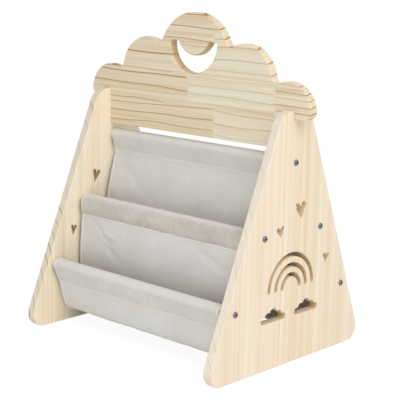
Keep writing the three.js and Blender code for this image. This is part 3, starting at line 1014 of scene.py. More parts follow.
@dataclass(frozen=True)
class Canvas:
    """Cotton canvas, plain woven from undyed and grey yarns, washed and matt.

    It gives the eye a fine grid with slightly thicker threads here and there, soft pale and
    dark patches where it was rubbed and folded, no gloss, and a pale bloom where it turns away.
    Where the Tone attribute is set, along the sleeves, patches of painted shade darken the cloth.
    """

    name: str = "cotton canvas, warm light grey"
    colour: str = "#e2deda"
    thread: str = "#c9c3bc"
    # painted shade on the sleeves: the darker colour that the Tone attribute mixes in
    overlaid: str = "#b8aa9c"
    spacing: float = 0.9  # between threads; the real 0.5 mm is too fine for the picture

    def material(self) -> Material:
        """Builds the shader on the cloth's own unrolled millimetres.

        Returns:
            The material.
        """
        material, tree = new_material(self.name)
        unrolled = add(tree, "UVMap", uv_map="Weave")
        placed = add(tree, "VectorMath", {0: unrolled, "Scale": 1 / MILLIMETRE}, "SCALE")
        crossing, yarn = self._weave(tree, placed)
        patches, mottle = (
            add(tree, "TexNoise", {
                "Vector": placed, "Scale": scale, "Detail": detail, "Roughness": roughness,
            })
            for scale, detail, roughness in ((0.014, 2.0, 0.5), (0.085, 3.0, 0.6))
        )
        clouded = add(tree, "Math", {0: mottle, 1: 0.6, 2: patches}, "MULTIPLY_ADD")
        uneven = add(tree, "Math", {0: yarn, 1: 0.25, 2: clouded}, "MULTIPLY_ADD")
        shade = add(tree, "MapRange", {0: uneven, 1: 0.7, 2: 1.45, 3: 0.15, 4: 0.65})
        raised = add(tree, "Math", {0: crossing, 1: 0.07, 2: shade}, "MULTIPLY_ADD")
        raised.node.use_clamp = True
        tones = {6: linear(self.colour), 7: linear(self.thread)}
        single = add(tree, "Mix", {0: raised, **tones}, **COLOUR)
        # Painted shade: where the Tone attribute is set, patches of the darker colour are mixed in
        layers = add(tree, "Attribute", output="Fac", attribute_name="Tone")
        shade_patches = add(tree, "MapRange", {0: clouded, 1: 0.6, 2: 1.0, 3: 0.65, 4: 1.35})
        painted_shade = add(tree, "Math", {0: layers, 1: shade_patches}, "MULTIPLY")
        painted_shade.node.use_clamp = True
        relief = add(tree, "Math", {0: yarn, 1: 0.5, 2: crossing}, "MULTIPLY_ADD")
        shader = add(tree, "BsdfPrincipled", {
            "Base Color": add(
                tree, "Mix", {0: painted_shade, 6: single, 7: linear(self.overlaid)}, **COLOUR,
            ),
            "Roughness": 0.92,
            "Normal": add(
                tree, "Bump", {"Strength": 0.25, "Distance": 0.15 * MILLIMETRE, "Height": relief},
            ),
            "IOR": 1.5,
            "Specular IOR Level": 0.3,
            "Sheen Weight": 0.12,
            "Sheen Roughness": 0.5,
        })
        add(tree, "OutputMaterial", {0: shader})
        return material

    def _weave(self, tree: Tree, placed: Socket) -> tuple[Socket, Socket]:
        """The product of a sine across the warp and one across the weft, and uneven yarns.

        Args:
            tree: the node tree.
            placed: place on the cloth, in millimetres.

        Returns:
            The grid of threads, and a noise drawn out along both ways.
        """
        split = add(tree, "SeparateXYZ", {0: placed}).node
        rate = math.pi / self.spacing
        turns = [add(tree, "Math", {0: split.outputs[i], 1: rate}, "MULTIPLY") for i in (0, 1)]
        warp, weft = (add(tree, "Math", {0: turn}, "SINE") for turn in turns)
        crossing = add(tree, "Math", {0: warp, 1: weft}, "MULTIPLY")
        slubs = [
            add(tree, "TexNoise", {
                "Vector": add(tree, "VectorMath", {0: placed, 1: stretch}, "MULTIPLY"),
                "Scale": 1.0,
                "Detail": 2.0,
            })
            for stretch in ((0.9, 0.05, 1.0), (0.05, 0.9, 1.0))
        ]
        return crossing, add(tree, "Math", {0: slubs[0], 1: slubs[1]}, "ADD")


@dataclass(frozen=True)
class Thread:
    """Spun polyester sewing thread, off-white, with a slight lustre."""

    name: str = "polyester sewing thread, off-white"
    colour: str = "#fbfaf7"
    shade: str = "#f0ede6"

    def material(self) -> Material:
        """Builds the shader, a little uneven from stitch to stitch.

        Returns:
            The material.
        """
        material, tree = new_material(self.name)
        place = add(tree, "TexCoord", output="Object")
        uneven = add(tree, "TexNoise", {"Vector": place, "Scale": 400.0, "Detail": 1.0})
        tones = {6: linear(self.colour), 7: linear(self.shade)}
        colour = add(tree, "Mix", {0: uneven, **tones}, **COLOUR)
        shader = add(tree, "BsdfPrincipled", {"Base Color": colour, "Roughness": 0.6, "IOR": 1.5})
        add(tree, "OutputMaterial", {0: shader})
        return material


@dataclass(frozen=True)
class Metal:
    """A small metal part with a faint clouded tone and fine working marks.

    Blue zinc plate looks a cool middle grey with soft reflections; a cast zinc alloy is duller
    and a little yellow.
    """

    name: str
    bright: str
    dull: str
    roughness: float

    def material(self) -> Material:
        """Builds the shader.

        Returns:
            The material.
        """
        material, tree = new_material(self.name)
        place = add(tree, "TexCoord", output="Object")
        cloud = add(tree, "TexNoise", {"Vector": place, "Scale": 350.0, "Detail": 3.0})
        marks = add(tree, "TexNoise", {"Vector": place, "Scale": 2600.0, "Detail": 2.0})
        tones = {6: linear(self.bright), 7: linear(self.dull)}
        colour = add(tree, "Mix", {0: cloud, **tones}, **COLOUR)
        rough = add(tree, "MapRange", {0: marks, 3: self.roughness - 0.08, 4: self.roughness + 0.1})
        bump = add(tree, "Bump", {"Strength": 0.15, "Distance": 0.05 * MILLIMETRE, "Height": marks})
        shader = add(tree, "BsdfPrincipled", {
            "Base Color": colour, "Metallic": 1.0, "Roughness": rough, "Normal": bump,
        })
        add(tree, "OutputMaterial", {0: shader})
        return material


# The shelf's sub-assemblies


@dataclass(frozen=True)
class Carcass:
    """The sizes that the panels and the head board share."""

    width: float = 480.0
    board: float = 18.0
    height: float = 452.0
    foot_depth: float = 435.4
    head_depth: float = 75.2
    lap_depth: float = 15.0
    fit_gap: float = 0.3
    lobe_end: float = 16.0
    valley: float = 12.0
    lobes: tuple[Lobe, ...] = (
        Lobe(0, 0.141, 0.1852),
        Lobe(0.2557, 0.0867, 0.1346),
        Lobe(0.4634, -0.0083, 0.1091),
    )

    def cloud(self, scale: float, base: float, lift: float, middle: float = 0.0) -> Cloud:
        """The shelf's cloud in full size or in small.

        Args:
            scale: its size in that of the head board.
            base: level of its underside.
            lift: level that its lobes rise from.
            middle: its place across.

        Returns:
            The cloud.
        """
        end, valley = self.lobe_end * scale, self.valley * scale
        return Cloud(self.lobes, self.width * scale, lift, base, end, valley, middle)


def softened(loop: Array, distance: float = 0.5, turn: float = 20.0) -> Array:
    """Adds a point close before and after each sharp corner of a loop.

    The corner's own normal then blends over that distance alone.

    Args:
        loop: the loop's points.
        distance: of the new points from the corner.
        turn: least turn that counts as sharp, in degrees.

    Returns:
        The loop with the new points.
    """
    ahead = np.roll(loop, -1, 0) - loop
    length = np.linalg.norm(ahead, axis=1, keepdims=True)
    ahead = ahead / length
    back, back_length = -np.roll(ahead, 1, 0), np.roll(length, 1, 0)
    sharp = (ahead * back).sum(1) > -math.cos(math.radians(turn))
    before = loop + back * np.minimum(distance, back_length * 0.3)
    after = loop + ahead * np.minimum(distance, length * 0.3)
    stacked = np.stack([before, loop, after], 1)
    kept = np.stack([sharp, np.ones_like(sharp), sharp], 1)
    return stacked[kept]


def dressed(piece: Object, slot: str, *nodes: str) -> Object:
    """Puts a finished piece on the shelf's body, in place of its nodes.

    Args:
        piece: the piece.
        slot: the nodes' slot; not used.
        nodes: their names.

    Returns:
        The piece.
    """
    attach(piece, BODY)
    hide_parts(*nodes)
    return piece


@dataclass
class SidePanel:
    """A leaning-sided panel with its rainbow, clouds, hearts, bolt holes and head-board slot."""

    node: str
    hearts: tuple[Heart, ...]
    finish: Material
    carcass: Carcass = Carcass()
    head_corner: float = 35.0
    foot_corner: float = 26.0
    notch_corner: float = 0.6
    rounding: float = 2.0
    notch_rounding: float = 0.5
    notch_margin: float = 3.0  # round the notch, to take in its rounded corners
    cut_rounding: float = 1.1
    hole_radius: float = 3.3
    hole_rounding: float = 0.2
    rainbow_height: float = 138.5
    rainbow_radii: tuple[float, ...] = (60.5, 42.0, 24.5)
    cloud_scale: float = 0.121
    cloud_height: float = 86.0
    cloud_lift_share: float = 0.098
    cloud_reach: float = 46.0

    def outline(self) -> Array:
        """The rounded trapezium with the notch that takes the head board."""
        size = self.carcass
        foot, head = size.foot_depth / 2, size.head_depth / 2
        notch, floor = size.board / 2 + size.fit_gap, size.height - size.lap_depth
        corners = [
            (-foot, 0, self.foot_corner),
            (foot, 0, self.foot_corner),
            (head, size.height, self.head_corner),
            (notch, size.height, self.notch_corner),
            (notch, floor, self.notch_corner),
            (-notch, floor, self.notch_corner),
            (-notch, size.height, self.notch_corner),
            (-head, size.height, self.head_corner),
        ]
        return rounded_polygon(corners)

    def cut_outs(self) -> list[Array]:
        """The rainbow's slots, the two clouds and the hearts, anticlockwise."""
        size = self.carcass
        lift = self.cloud_height + size.width * self.cloud_scale * self.cloud_lift_share
        arches = [Arch(self.rainbow_height, radius).outline() for radius in self.rainbow_radii]
        clouds = [
            size.cloud(self.cloud_scale, self.cloud_height, lift, middle).outline()
            for middle in (-self.cloud_reach, self.cloud_reach)
        ]
        hearts = [heart.outline(size.foot_depth, size.height) for heart in self.hearts]
        return [softened(loop) for loop in arches + clouds + hearts]

    def build(self) -> Object:
        """Makes the panel.

        Returns:
            The panel, in place of its node.
        """
        size = self.carcass
        outline = self.outline()
        reach = size.board / 2 + self.notch_margin
        level = size.height - size.lap_depth - self.notch_margin
        in_notch = (np.abs(outline[:, 0]) < reach) & (outline[:, 1] > level)
        loops = [(outline, np.where(in_notch, self.notch_rounding, self.rounding))]
        loops += [(loop[::-1], self.cut_rounding) for loop in self.cut_outs()]
        for rod in BoltedRod.NAMES:
            centre = node_middle(f"{rod}_rod")[1:]
            hole = closed([arc(centre, self.hole_radius, 0, math.tau, step=0.6)])
            loops.append((hole[::-1], self.hole_rounding))
        axes = np.array([[0, 1, 0], [0, 0, 1], [1, 0, 0]], float)
        shell = Board(size.board, loops).shell().placed(axes, (node_middle(self.node)[0], 0, 0))
        panel = shell.as_object(self.node.replace("_side", ""), self.finish)
        return dressed(panel, "pine_panel", self.node)


@dataclass
class HeadBoard:
    """The five-lobed cloud whose apron drops between the panels, with its crescent hand hole."""

    finish: Material
    node: str = "cloud_head_board"
    carcass: Carcass = Carcass()
    apron_drop: float = 68.5
    rounding: float = 3.0
    apron_rounding: float = 1.0
    blend: float = 10.0  # above and below the panels' tops, where the one turns into the other
    hole_rounding: float = 4.0
    tip_rounding: float = 2.4
    tip_blend: tuple[float, float] = (-16.0, -6.0)  # from the hole's centre, between those two
    hole_height: float = 103.5
    hole_radius: float = 57.5
    tongue_rise: float = 15.5
    tongue_radius: float = 41.0
    tip_radius: float = 4.0

    def outline(self) -> Array:
        """The cloud with its apron below."""
        size = self.carcass
        shoulder = size.height - size.lap_depth + size.fit_gap
        apron = size.width / 2 - size.board - size.fit_gap
        foot = size.height - self.apron_drop
        cloud = size.cloud(1.0, shoulder, size.height)
        return cloud.outline([(-apron, shoulder), (-apron, foot), (apron, foot), (apron, shoulder)])

    def hand_hole(self) -> Array:
        """A half disc whose top is filled by a round tongue between two tips, anticlockwise."""
        centre = self.carcass.height + self.hole_height
        tip = self.tip_radius
        drop = self.tongue_rise + tip
        outer_reach = math.sqrt((self.hole_radius - tip) ** 2 - tip**2)
        inner_reach = math.sqrt((self.tongue_radius + tip) ** 2 - drop**2)
        outer, inner = math.atan2(tip, outer_reach), math.atan2(drop, inner_reach)
        half, level, tongue = math.pi, centre - tip, (0, centre + self.tongue_rise)
        return closed([
            arc((0, centre), self.hole_radius, half + outer, 2 * half - outer),
            arc((outer_reach, level), tip, -outer, half / 2, step=0.8),
            arc((inner_reach, level), tip, half / 2, half - inner, step=0.8),
            arc(tongue, self.tongue_radius, -inner, half + inner, clockwise=True),
            arc((-inner_reach, level), tip, inner, half / 2, step=0.8),
            arc((-outer_reach, level), tip, half / 2, half + outer, step=0.8),
        ])

    def build(self) -> Object:
        """Makes the head board.

        Returns:
            The board, in place of its node.
        """
        size = self.carcass
        outline, hole = softened(self.outline()), self.hand_hole()[::-1]
        ends = [size.height - self.blend, size.height + self.blend]
        rounding = np.interp(outline[:, 1], ends, [self.apron_rounding, self.rounding])
        ends = [size.height + self.hole_height + place for place in self.tip_blend]
        hole_rounding = np.interp(hole[:, 1], ends, [self.hole_rounding, self.tip_rounding])
        board = Board(size.board, [(outline, rounding), (hole, hole_rounding)], arc_steps=7)
        axes = np.array([[1, 0, 0], [0, 0, 1], [0, -1, 0]], float)
        board = board.shell().placed(axes, (0, 0, 0)).as_object("head_board", self.finish)
        return dressed(board, "pine_head_board", self.node)


@dataclass
class BoltedRod:
    """A turned dowel with a bored insert and a button-head bolt in each end."""

    NAMES = ("top", "front_upper", "front_lower", "rear_upper", "rear_lower")

    name: str
    wood: Material
    steel: Material
    alloy: Material
    radius: float = 10.0
    chamfer: float = 1.0
    insert_radius: float = 5.3
    insert_depth: float = 14.3
    tip_radius: float = 3.3
    tip_depth: float = 22.0
    shank: float = 3.0
    shank_length: float = 35.0
    head: float = 5.25
    head_height: float = 3.3
    rim: float = 0.8
    crown: float = 2.9
    socket: float = 4.0
    socket_depth: float = 2.0
    socket_mouth: float = 0.25  # how much wider the socket is at its mouth
    socket_point: float = 0.5  # how much deeper it is in its middle
    edge_ease: float = 0.2
    tip_bevel: float = 0.75

    def rod(self) -> Object:
        """The dowel, turned about X, with a stepped bore in each end."""
        node = f"{self.name}_rod"
        end, soft = node_box(node)[1][0], self.chamfer * 0.3
        half = np.array([
            (0, end - self.tip_depth),
            (self.tip_radius, end - self.tip_depth),
            (self.tip_radius, end - self.insert_depth),
            (self.insert_radius, end - self.insert_depth),
            (self.insert_radius, end),
            (self.radius - self.chamfer - soft, end),
            (self.radius - self.chamfer, end - soft / 2),
            (self.radius - soft / 2, end - self.chamfer),
            (self.radius, end - self.chamfer - soft),
        ])
        profile = np.concatenate([half * [1, -1], half[::-1]])
        shell = turned(profile[:, 1], profile[:, 0])
        shell = shell.placed(np.eye(3), (0, *node_middle(node)[1:])).outward()
        rod = shell.as_object(f"{self.name}_dowel", self.wood, crease=35)
        return dressed(rod, "rod_wood", node)

    def bolt_shell(self) -> Shell:
        """A bolt whose head lies outside the origin and whose shank lies along -X.

        The head is a quarter ellipse from its rim to its crown. The socket's radius at each
        angle is half its width over the cosine of the angle from the nearest flat's middle.
        """
        angle = np.linspace(0, math.tau, RING_POINTS, endpoint=False)
        flat = (angle % (math.pi / 3)) - math.pi / 6
        hexagon = self.socket / 2 / np.cos(flat)
        ring = np.ones_like(angle)
        sweep = np.linspace(0, math.pi / 2, 9)
        heights = self.rim + (self.head_height - self.rim) * np.sin(sweep)
        radii = self.crown + (self.head - self.crown) * np.cos(sweep)
        floor = self.head_height - self.socket_depth
        rows = [
            (-self.shank_length, 0 * ring),
            (-self.shank_length, (self.shank - self.tip_bevel) * ring),
            (self.tip_bevel - self.shank_length, self.shank * ring),
            (0, self.shank * ring),
            (0, (self.head - self.edge_ease) * ring),
            (self.edge_ease, self.head * ring),
            *[(height, radius * ring) for height, radius in zip(heights, radii)],
            (self.head_height, hexagon + self.socket_mouth),
            (self.head_height - self.edge_ease, hexagon),
            (floor, hexagon),
            (floor - self.socket_point, 0 * ring),
        ]
        return turned(np.array([row[0] for row in rows], float), np.stack([row[1] for row in rows]))

    def bolts(self) -> list[Object]:
        """The bolt in each end."""
        made = []
        for end, facing in (("left", -1), ("right", 1)):
            node = f"{self.name}_bolt_{end}"
            low, high = node_box(node)
            seat = high[0] - self.head_height if facing > 0 else low[0] + self.head_height
            axes = np.diag([facing, facing, 1.0])
            shell = self.bolt_shell().placed(axes, (seat, *node_middle(node)[1:]))
            bolt = shell.as_object(f"{node}_steel", self.steel, crease=40)
            made.append(dressed(bolt, "bolt_steel", node))
        return made

    def build(self) -> list[Object]:
        """Makes the rod and its bolts, and dresses its inserts.

        Returns:
            The pieces made.
        """
        for end in ("left", "right"):
            insert = bpy.data.objects[f"{self.name}_insert_{end}"]
            insert.data.materials.clear()
            insert.data.materials.append(self.alloy)
        return [self.rod(), *self.bolts()]


# Cloth

LAYER = 0.55  # half the distance between two layers that are sewn together
ALLOWANCE = 9.0  # of cloth beyond a seam
WRAP = 10.65  # radius of the cloth's middle line round a rod


def smooth_noise(x: Array, y: Array, cell: tuple[float, float], seed: int) -> Array:
    """Even noise from -1 to 1: random values on a lattice, blended by cubic steps between them.

    Args:
        x: first coordinate of each place.
        y: second coordinate of each place.
        cell: the lattice's spacing in x and y.
        seed: which noise.

    Returns:
        A value for each place.
    """
    lattice = np.random.default_rng(seed).uniform(-1, 1, (257, 257))
    u, v = np.broadcast_arrays(x / cell[0] + 64.5, y / cell[1] + 64.5)
    i, j = np.floor(u).astype(int) % 256, np.floor(v).astype(int) % 256
    a, b = u - np.floor(u), v - np.floor(v)
    a, b = a * a * (3 - 2 * a), b * b * (3 - 2 * b)
    near = lattice[i, j] * (1 - a) + lattice[i + 1, j] * a
    far = lattice[i, j + 1] * (1 - a) + lattice[i + 1, j + 1] * a
    return near * (1 - b) + far * b


@dataclass(frozen=True)
class Rumple:
    """A layer of smooth noise on the unrolled cloth."""

    height: float
    cell: tuple[float, float]
    seed: int  # beside the cloth's own


# What makes a pocket's walls, their seam and the loose part of their sleeve uneven
SOFT = (Rumple(0.9, (70, 46), 0), Rumple(0.4, (24, 30), 7), Rumple(0.3, (11, 14), 13))
PUCKERS = (Rumple(0.3, (7, 50), 3),)
DIMPLES = (Rumple(0.9, (17, 13), 21), Rumple(0.4, (48, 30), 5))


def rumpled(
    x: Array, s: Array, rumples: Sequence[Rumple], seed: int, level: float = 0.0,
) -> Array:
    """Adds up layers of noise.

    Args:
        x: place across the cloth.
        s: place down it.
        rumples: the layers.
        seed: the cloth's own.
        level: to which they are added.

    Returns:
        The height at each place.
    """
    layers = (one.height * smooth_noise(x, s, one.cell, seed + one.seed) for one in rumples)
    return sum(layers, level)


def ease(value: Array, start: float, end: float) -> Array:
    """A smooth step from 0 at the start to 1 at the end."""
    share = np.clip((value - start) / (end - start), 0, 1)
    return share * share * (3 - 2 * share)


def lean_vector(degrees: float) -> Array:
    """Unit vector at an angle from straight up, positive outwards."""
    return np.array([math.sin(math.radians(degrees)), math.cos(math.radians(degrees))])


def bezier(
    start: Array, leaving: Array, end: Array, arriving: Array, handle_share: float = 0.28,
) -> Array:
    """A cubic curve between two points.

    Args:
        start: its first point.
        leaving: its direction there, as a unit vector.
        end: its last point.
        arriving: its direction there.
        handle_share: length of its handles, as a share of the distance between the points.

    Returns:
        The curve's points.
    """
    handle = np.linalg.norm(end - start) * handle_share
    inner, outer = start + leaving * handle, end - arriving * handle
    t = np.linspace(0, 1, 60)[:, None]
    u = 1 - t
    return u**3 * start + 3 * t * u**2 * inner + 3 * t**2 * u * outer + t**3 * end


def lengths(points: Array) -> Array:
    """How far along a line each of its points lies."""
    return np.concatenate([[0], np.cumsum(np.linalg.norm(np.diff(points, axis=0), axis=1))])


def between(places: Array, length: Array, values: Array) -> Array:
    """Values at places along a line, in rows, from those at each of its points."""
    return np.stack([np.interp(places, length, column) for column in values.T], 1)


def open_line(parts: Sequence[Array], closeness: float = 0.02) -> tuple[Array, Array]:
    """Joins stretches of an open line, without its repeated points.

    Args:
        parts: the points of each stretch.
        closeness: distance within which a point repeats the one before.

    Returns:
        The line's points, and how far along it each stretch ends.
    """
    points = np.concatenate(parts)
    length = lengths(points)
    ends = np.cumsum([len(part) for part in parts]) - 1
    return points[np.diff(length, prepend=-1) > closeness], length[ends]


def rod_place(name: str) -> Array:
    """A rod's axis in (reach, height), where reach is the distance from the shelf's middle."""
    _, y, z = node_middle(f"{name}_rod")
    return np.array([abs(y), z])


def unmoved(x: Array, s: Array) -> Array:
    """No lift, at any place across and down the cloth."""
    return 0 * x * s


@dataclass(frozen=True)
class Crease:
    """A soft fold along a straight line on the unrolled cloth, as a bell-shaped ridge.

    Its height falls off with the square of the distance from the line, and to its ends.
    """

    start: tuple[float, float]  # along X, and down the cloth from its upper edge
    end: tuple[float, float]
    width: float
    height: float

    def lift(self, x: Array, s: Array) -> Array:
        """Height of the fold at each place.

        Args:
            x: place across the cloth.
            s: place down it.

        Returns:
            The height.
        """
        start, end = np.array(self.start), np.array(self.end)
        line = end - start
        length = np.linalg.norm(line)
        unit = line / length
        along = (x - start[0]) * unit[0] + (s - start[1]) * unit[1]
        off = (x - start[0]) * unit[1] - (s - start[1]) * unit[0]
        taper = np.sin(np.clip(along / length, 0, 1) * math.pi) ** 0.8
        return self.height * taper * np.exp(-((off / self.width) ** 2))


@dataclass(frozen=True)
class Sleeve:
    """A sleeve's seam, by its distance from the rod's axis and its swing outwards in degrees."""

    drop: float
    lean: float
    loose_at: float = -5.0  # degrees from level, where it may stand furthest off its rod
    loose_spread: float = 35.0

    def seam(self, rod: Array) -> Array:
        """The seam below a rod, in (reach, height)."""
        return rod - lean_vector(-self.lean) * self.drop

    def loop(self, rod: Array, radius: float, slack: float = 0.0) -> Array:
        """Round the rod from its outer side over its top to its inner side.

        The radius grows by the slack times a bell curve about the place where it is loose.

        Args:
            rod: the rod's axis.
            radius: of the cloth's middle line where it lies on the rod.
            slack: how far it stands off in front.

        Returns:
            The points, in (reach, height).
        """
        reach = math.pi / 2 + math.asin(radius / self.drop)
        up = math.pi / 2 + math.radians(self.lean)
        points = arc(rod, radius, up - reach, up + reach, step=1.0) - rod
        angle = np.degrees(np.arctan2(points[:, 1], points[:, 0]))
        bell = np.exp(-(((angle - self.loose_at) / self.loose_spread) ** 2))
        return rod + points * (1 + slack / radius * bell)[:, None]


@dataclass
class Cloth:
    """A hemmed length of canvas carried on a profile along the whole width of the sling.

    Each point lies on the profile, moved along the profile's normal by the lift at its place,
    and half the cloth's thickness to either side. The side hems are a second layer thick.
    """

    name: str
    profile: Array
    lift: Callable[[Array, Array], Array]
    side: Side
    # layers: the painted shade, as the Tone at each place down the cloth
    layers: Callable[[Array], Array] = np.zeros_like  # the tone at each place down the cloth
    seams: tuple[float, ...] = ()  # places down the cloth where the rows stand closer
    crease: float = 60.0  # degrees from which an edge is left sharp
    width: float = 431.0
    thickness: float = 1.0
    hem: float = 8.0
    hem_extra: float = 0.5
    step: float = 2.6
    column_step: float = 3.4
    seam_step: float = 0.75
    seam_reach: float = 6.0

    def __post_init__(self) -> None:
        """Spaces the profile evenly and works out its normals and the columns."""
        length = lengths(self.profile)
        self.length = float(length[-1])
        rows = np.linspace(0, self.length, int(self.length / self.step) + 1)
        for seam in self.seams:
            close = np.arange(-self.seam_reach, self.seam_reach + 0.1, self.seam_step)
            away = rows[np.abs(rows - seam) > self.seam_reach + 1]
            rows = np.concatenate([away, seam + close])
        self.s = np.sort(rows)
        self.path = between(self.s, length, self.profile)
        self.normal = right_of(units(np.gradient(self.path, axis=0)))
        half = self.width / 2
        reach = half - self.hem - 1

        # Columns stand closer along the cut edge and at the hem's step
        inner = np.linspace(-reach, reach, int(self.width / self.column_step))
        edge = half - np.array([0, 0.6, 2.5, 5, self.hem - 1, self.hem - 0.3, self.hem + 0.3])
        self.x = np.concatenate([-edge, inner, edge[::-1]])
        self.raised = self.lift(self.x[None], self.s[:, None])

    def surface(self, offset: float) -> Array:
        """The grid of points at a distance from the middle of the cloth, as (rows, columns, 3).

        The hem ends in a step 0.6 mm wide, and the cut edge is softened over 0.7 mm.

        Args:
            offset: the distance, positive on the outer face.

        Returns:
            The points.
        """
        inside = self.width / 2 - np.abs(self.x)
        hem = self.hem_extra * (1 - ease(inside, self.hem - 0.4, self.hem + 0.2))
        soft = 0.4 * (1 - ease(inside, 0, 0.7))
        half = (abs(offset) + hem / 2 - soft) * np.sign(offset)
        shift = self.raised + half
        reach = self.path[:, :1] + self.normal[:, :1] * shift
        height = self.path[:, 1:] + self.normal[:, 1:] * shift
        x = np.broadcast_to(self.x, reach.shape)
        return np.stack([x, reach * self.side.value, height], 2)

    def shell(self) -> Shell:
        """Both faces of the cloth, joined all round."""
        outer = self.surface(self.thickness / 2)
        inner = self.surface(-self.thickness / 2)[:, ::-1]
        ring = np.concatenate([outer, inner], 1)
        rows, columns = ring.shape[:2]
        column = np.arange(len(self.x) - 1)
        caps = []
        for row in (0, rows - 1):
            top = row * columns + column
            bottom = row * columns + columns - 1 - column
            quad = np.stack([top, top + 1, bottom - 1, bottom], 1)
            caps.append(quad if row else quad[:, ::-1])
        x = np.concatenate([self.x, self.x[::-1]])
        uv = np.stack(np.broadcast_arrays(x[None], self.s[:, None]), 2).reshape(-1, 2)
        tone = np.repeat(self.layers(self.s), columns)
        faces = [grid_faces(rows, columns, wrapped=True), *caps]
        return Shell(ring.reshape(-1, 3), faces, uv=uv * MILLIMETRE, tone=tone).outward()

    def outward(self, offset: float) -> Array:
        """The direction that one face looks in, at each place down the cloth."""
        reach, height = self.normal.T
        return np.stack([0 * reach, reach * self.side.value, height], 1) * np.sign(offset)

    def row_line(self, s: float, offset: float) -> Line:
        """A line across the cloth at one place down it, and its outward direction.

        Args:
            s: the place.
            offset: of the face from the cloth's middle.

        Returns:
            The line.
        """
        row = int(np.argmin(np.abs(self.s - s)))
        kept = self.surface(offset)[row, np.abs(self.x) < self.width / 2 - 1]
        return kept, np.broadcast_to(self.outward(offset)[row], kept.shape)

    def column_line(self, x: float, offset: float, start: float, end: float) -> Line:
        """A line down the cloth at one place across it, and its outward direction.

        Args:
            x: the place.
            offset: of the face from the cloth's middle.
            start: place down the cloth where it starts.
            end: place where it ends.

        Returns:
            The line.
        """
        column = int(np.argmin(np.abs(self.x - x)))
        kept = (self.s > start) & (self.s < end)
        return self.surface(offset)[kept, column], self.outward(offset)[kept]

    def hang(
        self, rod: str, finish: Material, stitching: "Stitching", lines: Sequence[Line],
    ) -> list[Object]:
        """Makes the cloth and its stitches, in place of the cloth's node.

        Args:
            rod: the rod that its sleeve lies on; not used.
            finish: the cloth's material.
            stitching: the seams' stitches.
            lines: where they run.

        Returns:
            The cloth and its stitching.
        """
        piece = self.shell().as_object(f"{self.name}_cloth", finish, crease=self.crease)
        sewn = stitching.shell(lines).as_object(f"{self.name}_stitches", stitching.material)
        dressed(piece, "sling_cotton", self.name)
        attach(sewn, BODY)
        log.info("%s: cut %.0f x %.0f mm", self.name, self.width, self.length)
        return [piece, sewn]


@dataclass(frozen=True)
class Stitching:
    """Lockstitch: small capsules of thread, end to end with a gap, half sunk in the cloth."""

    material: Material
    pitch: float = 4.6
    length: float = 2.9
    width: float = 2.3  # the real 0.4 mm thread is too fine for the picture
    height: float = 1.0
    raised: float = 0.05  # its middle above the cloth

    @staticmethod
    def _capsule(
        sides: int = 5, shoulder: float = 0.7, swell: float = 1.25,
    ) -> tuple[Array, list[Array]]:
        """One stitch about the origin: a point, two rings and a point.

        Args:
            sides: of a ring.
            shoulder: place of the rings, where the points are at 1.
            swell: radius of the rings over that of a sphere there.

        Returns:
            Its corners, and its faces by their number of corners.
        """
        turn = np.linspace(0, math.tau, sides, endpoint=False)
        radius = math.sqrt(1 - shoulder**2) * swell
        round_ = np.stack([np.cos(turn), np.sin(turn)], 1) * radius
        rings = [np.insert(round_, 0, place, axis=1) for place in (-shoulder, shoulder)]
        corners = np.concatenate([[(-1, 0, 0)], *rings, [(1, 0, 0)]])
        near = 1 + np.arange(sides)
        near_next, far = np.roll(near, -1), near + sides
        far_next = np.roll(far, -1)
        tail = np.stack([0 * near, near_next, near], 1)
        body = np.stack([near, near_next, far_next, far], 1)
        head = np.stack([0 * far + 2 * sides + 1, far, far_next], 1)
        return corners, [tail, body, head]

    def shell(self, lines: Sequence[Line]) -> Shell:
        """Stitches along several lines.

        Args:
            lines: where they run.

        Returns:
            All the stitches as one surface.
        """
        unit, parts = self._capsule()
        vertices = []
        for points, outward in lines:
            length = lengths(points)
            at = np.arange(self.pitch / 2, length[-1], self.pitch)
            place = between(at, length, points)
            ahead = between(at + 0.5, length, points) - place
            out = between(at, length, outward)
            along = ahead / np.maximum(np.linalg.norm(ahead, axis=1, keepdims=True), 1e-9)
            aside = np.cross(out, along)
            vertices.append(
                place[:, None]
                + along[:, None] * unit[None, :, :1] * self.length / 2
                + aside[:, None] * unit[None, :, 1:2] * self.width / 2
                + out[:, None] * (unit[None, :, 2:] * self.height + self.raised)
            )
        stitches = np.concatenate(vertices)
        start = (np.arange(len(stitches)) * len(unit))[:, None, None]
        faces = [(start + part).reshape(-1, part.shape[1]) for part in parts]
        return Shell(stitches.reshape(-1, 3), faces).outward()


@dataclass(frozen=True)
class Marks:
    """How far down a pocket's cloth its parts end."""

    foot: float  # of the back wall
    turn: float  # of the rounded bottom
    seam: float
    roll: float  # where the sleeve comes to lie on its rod


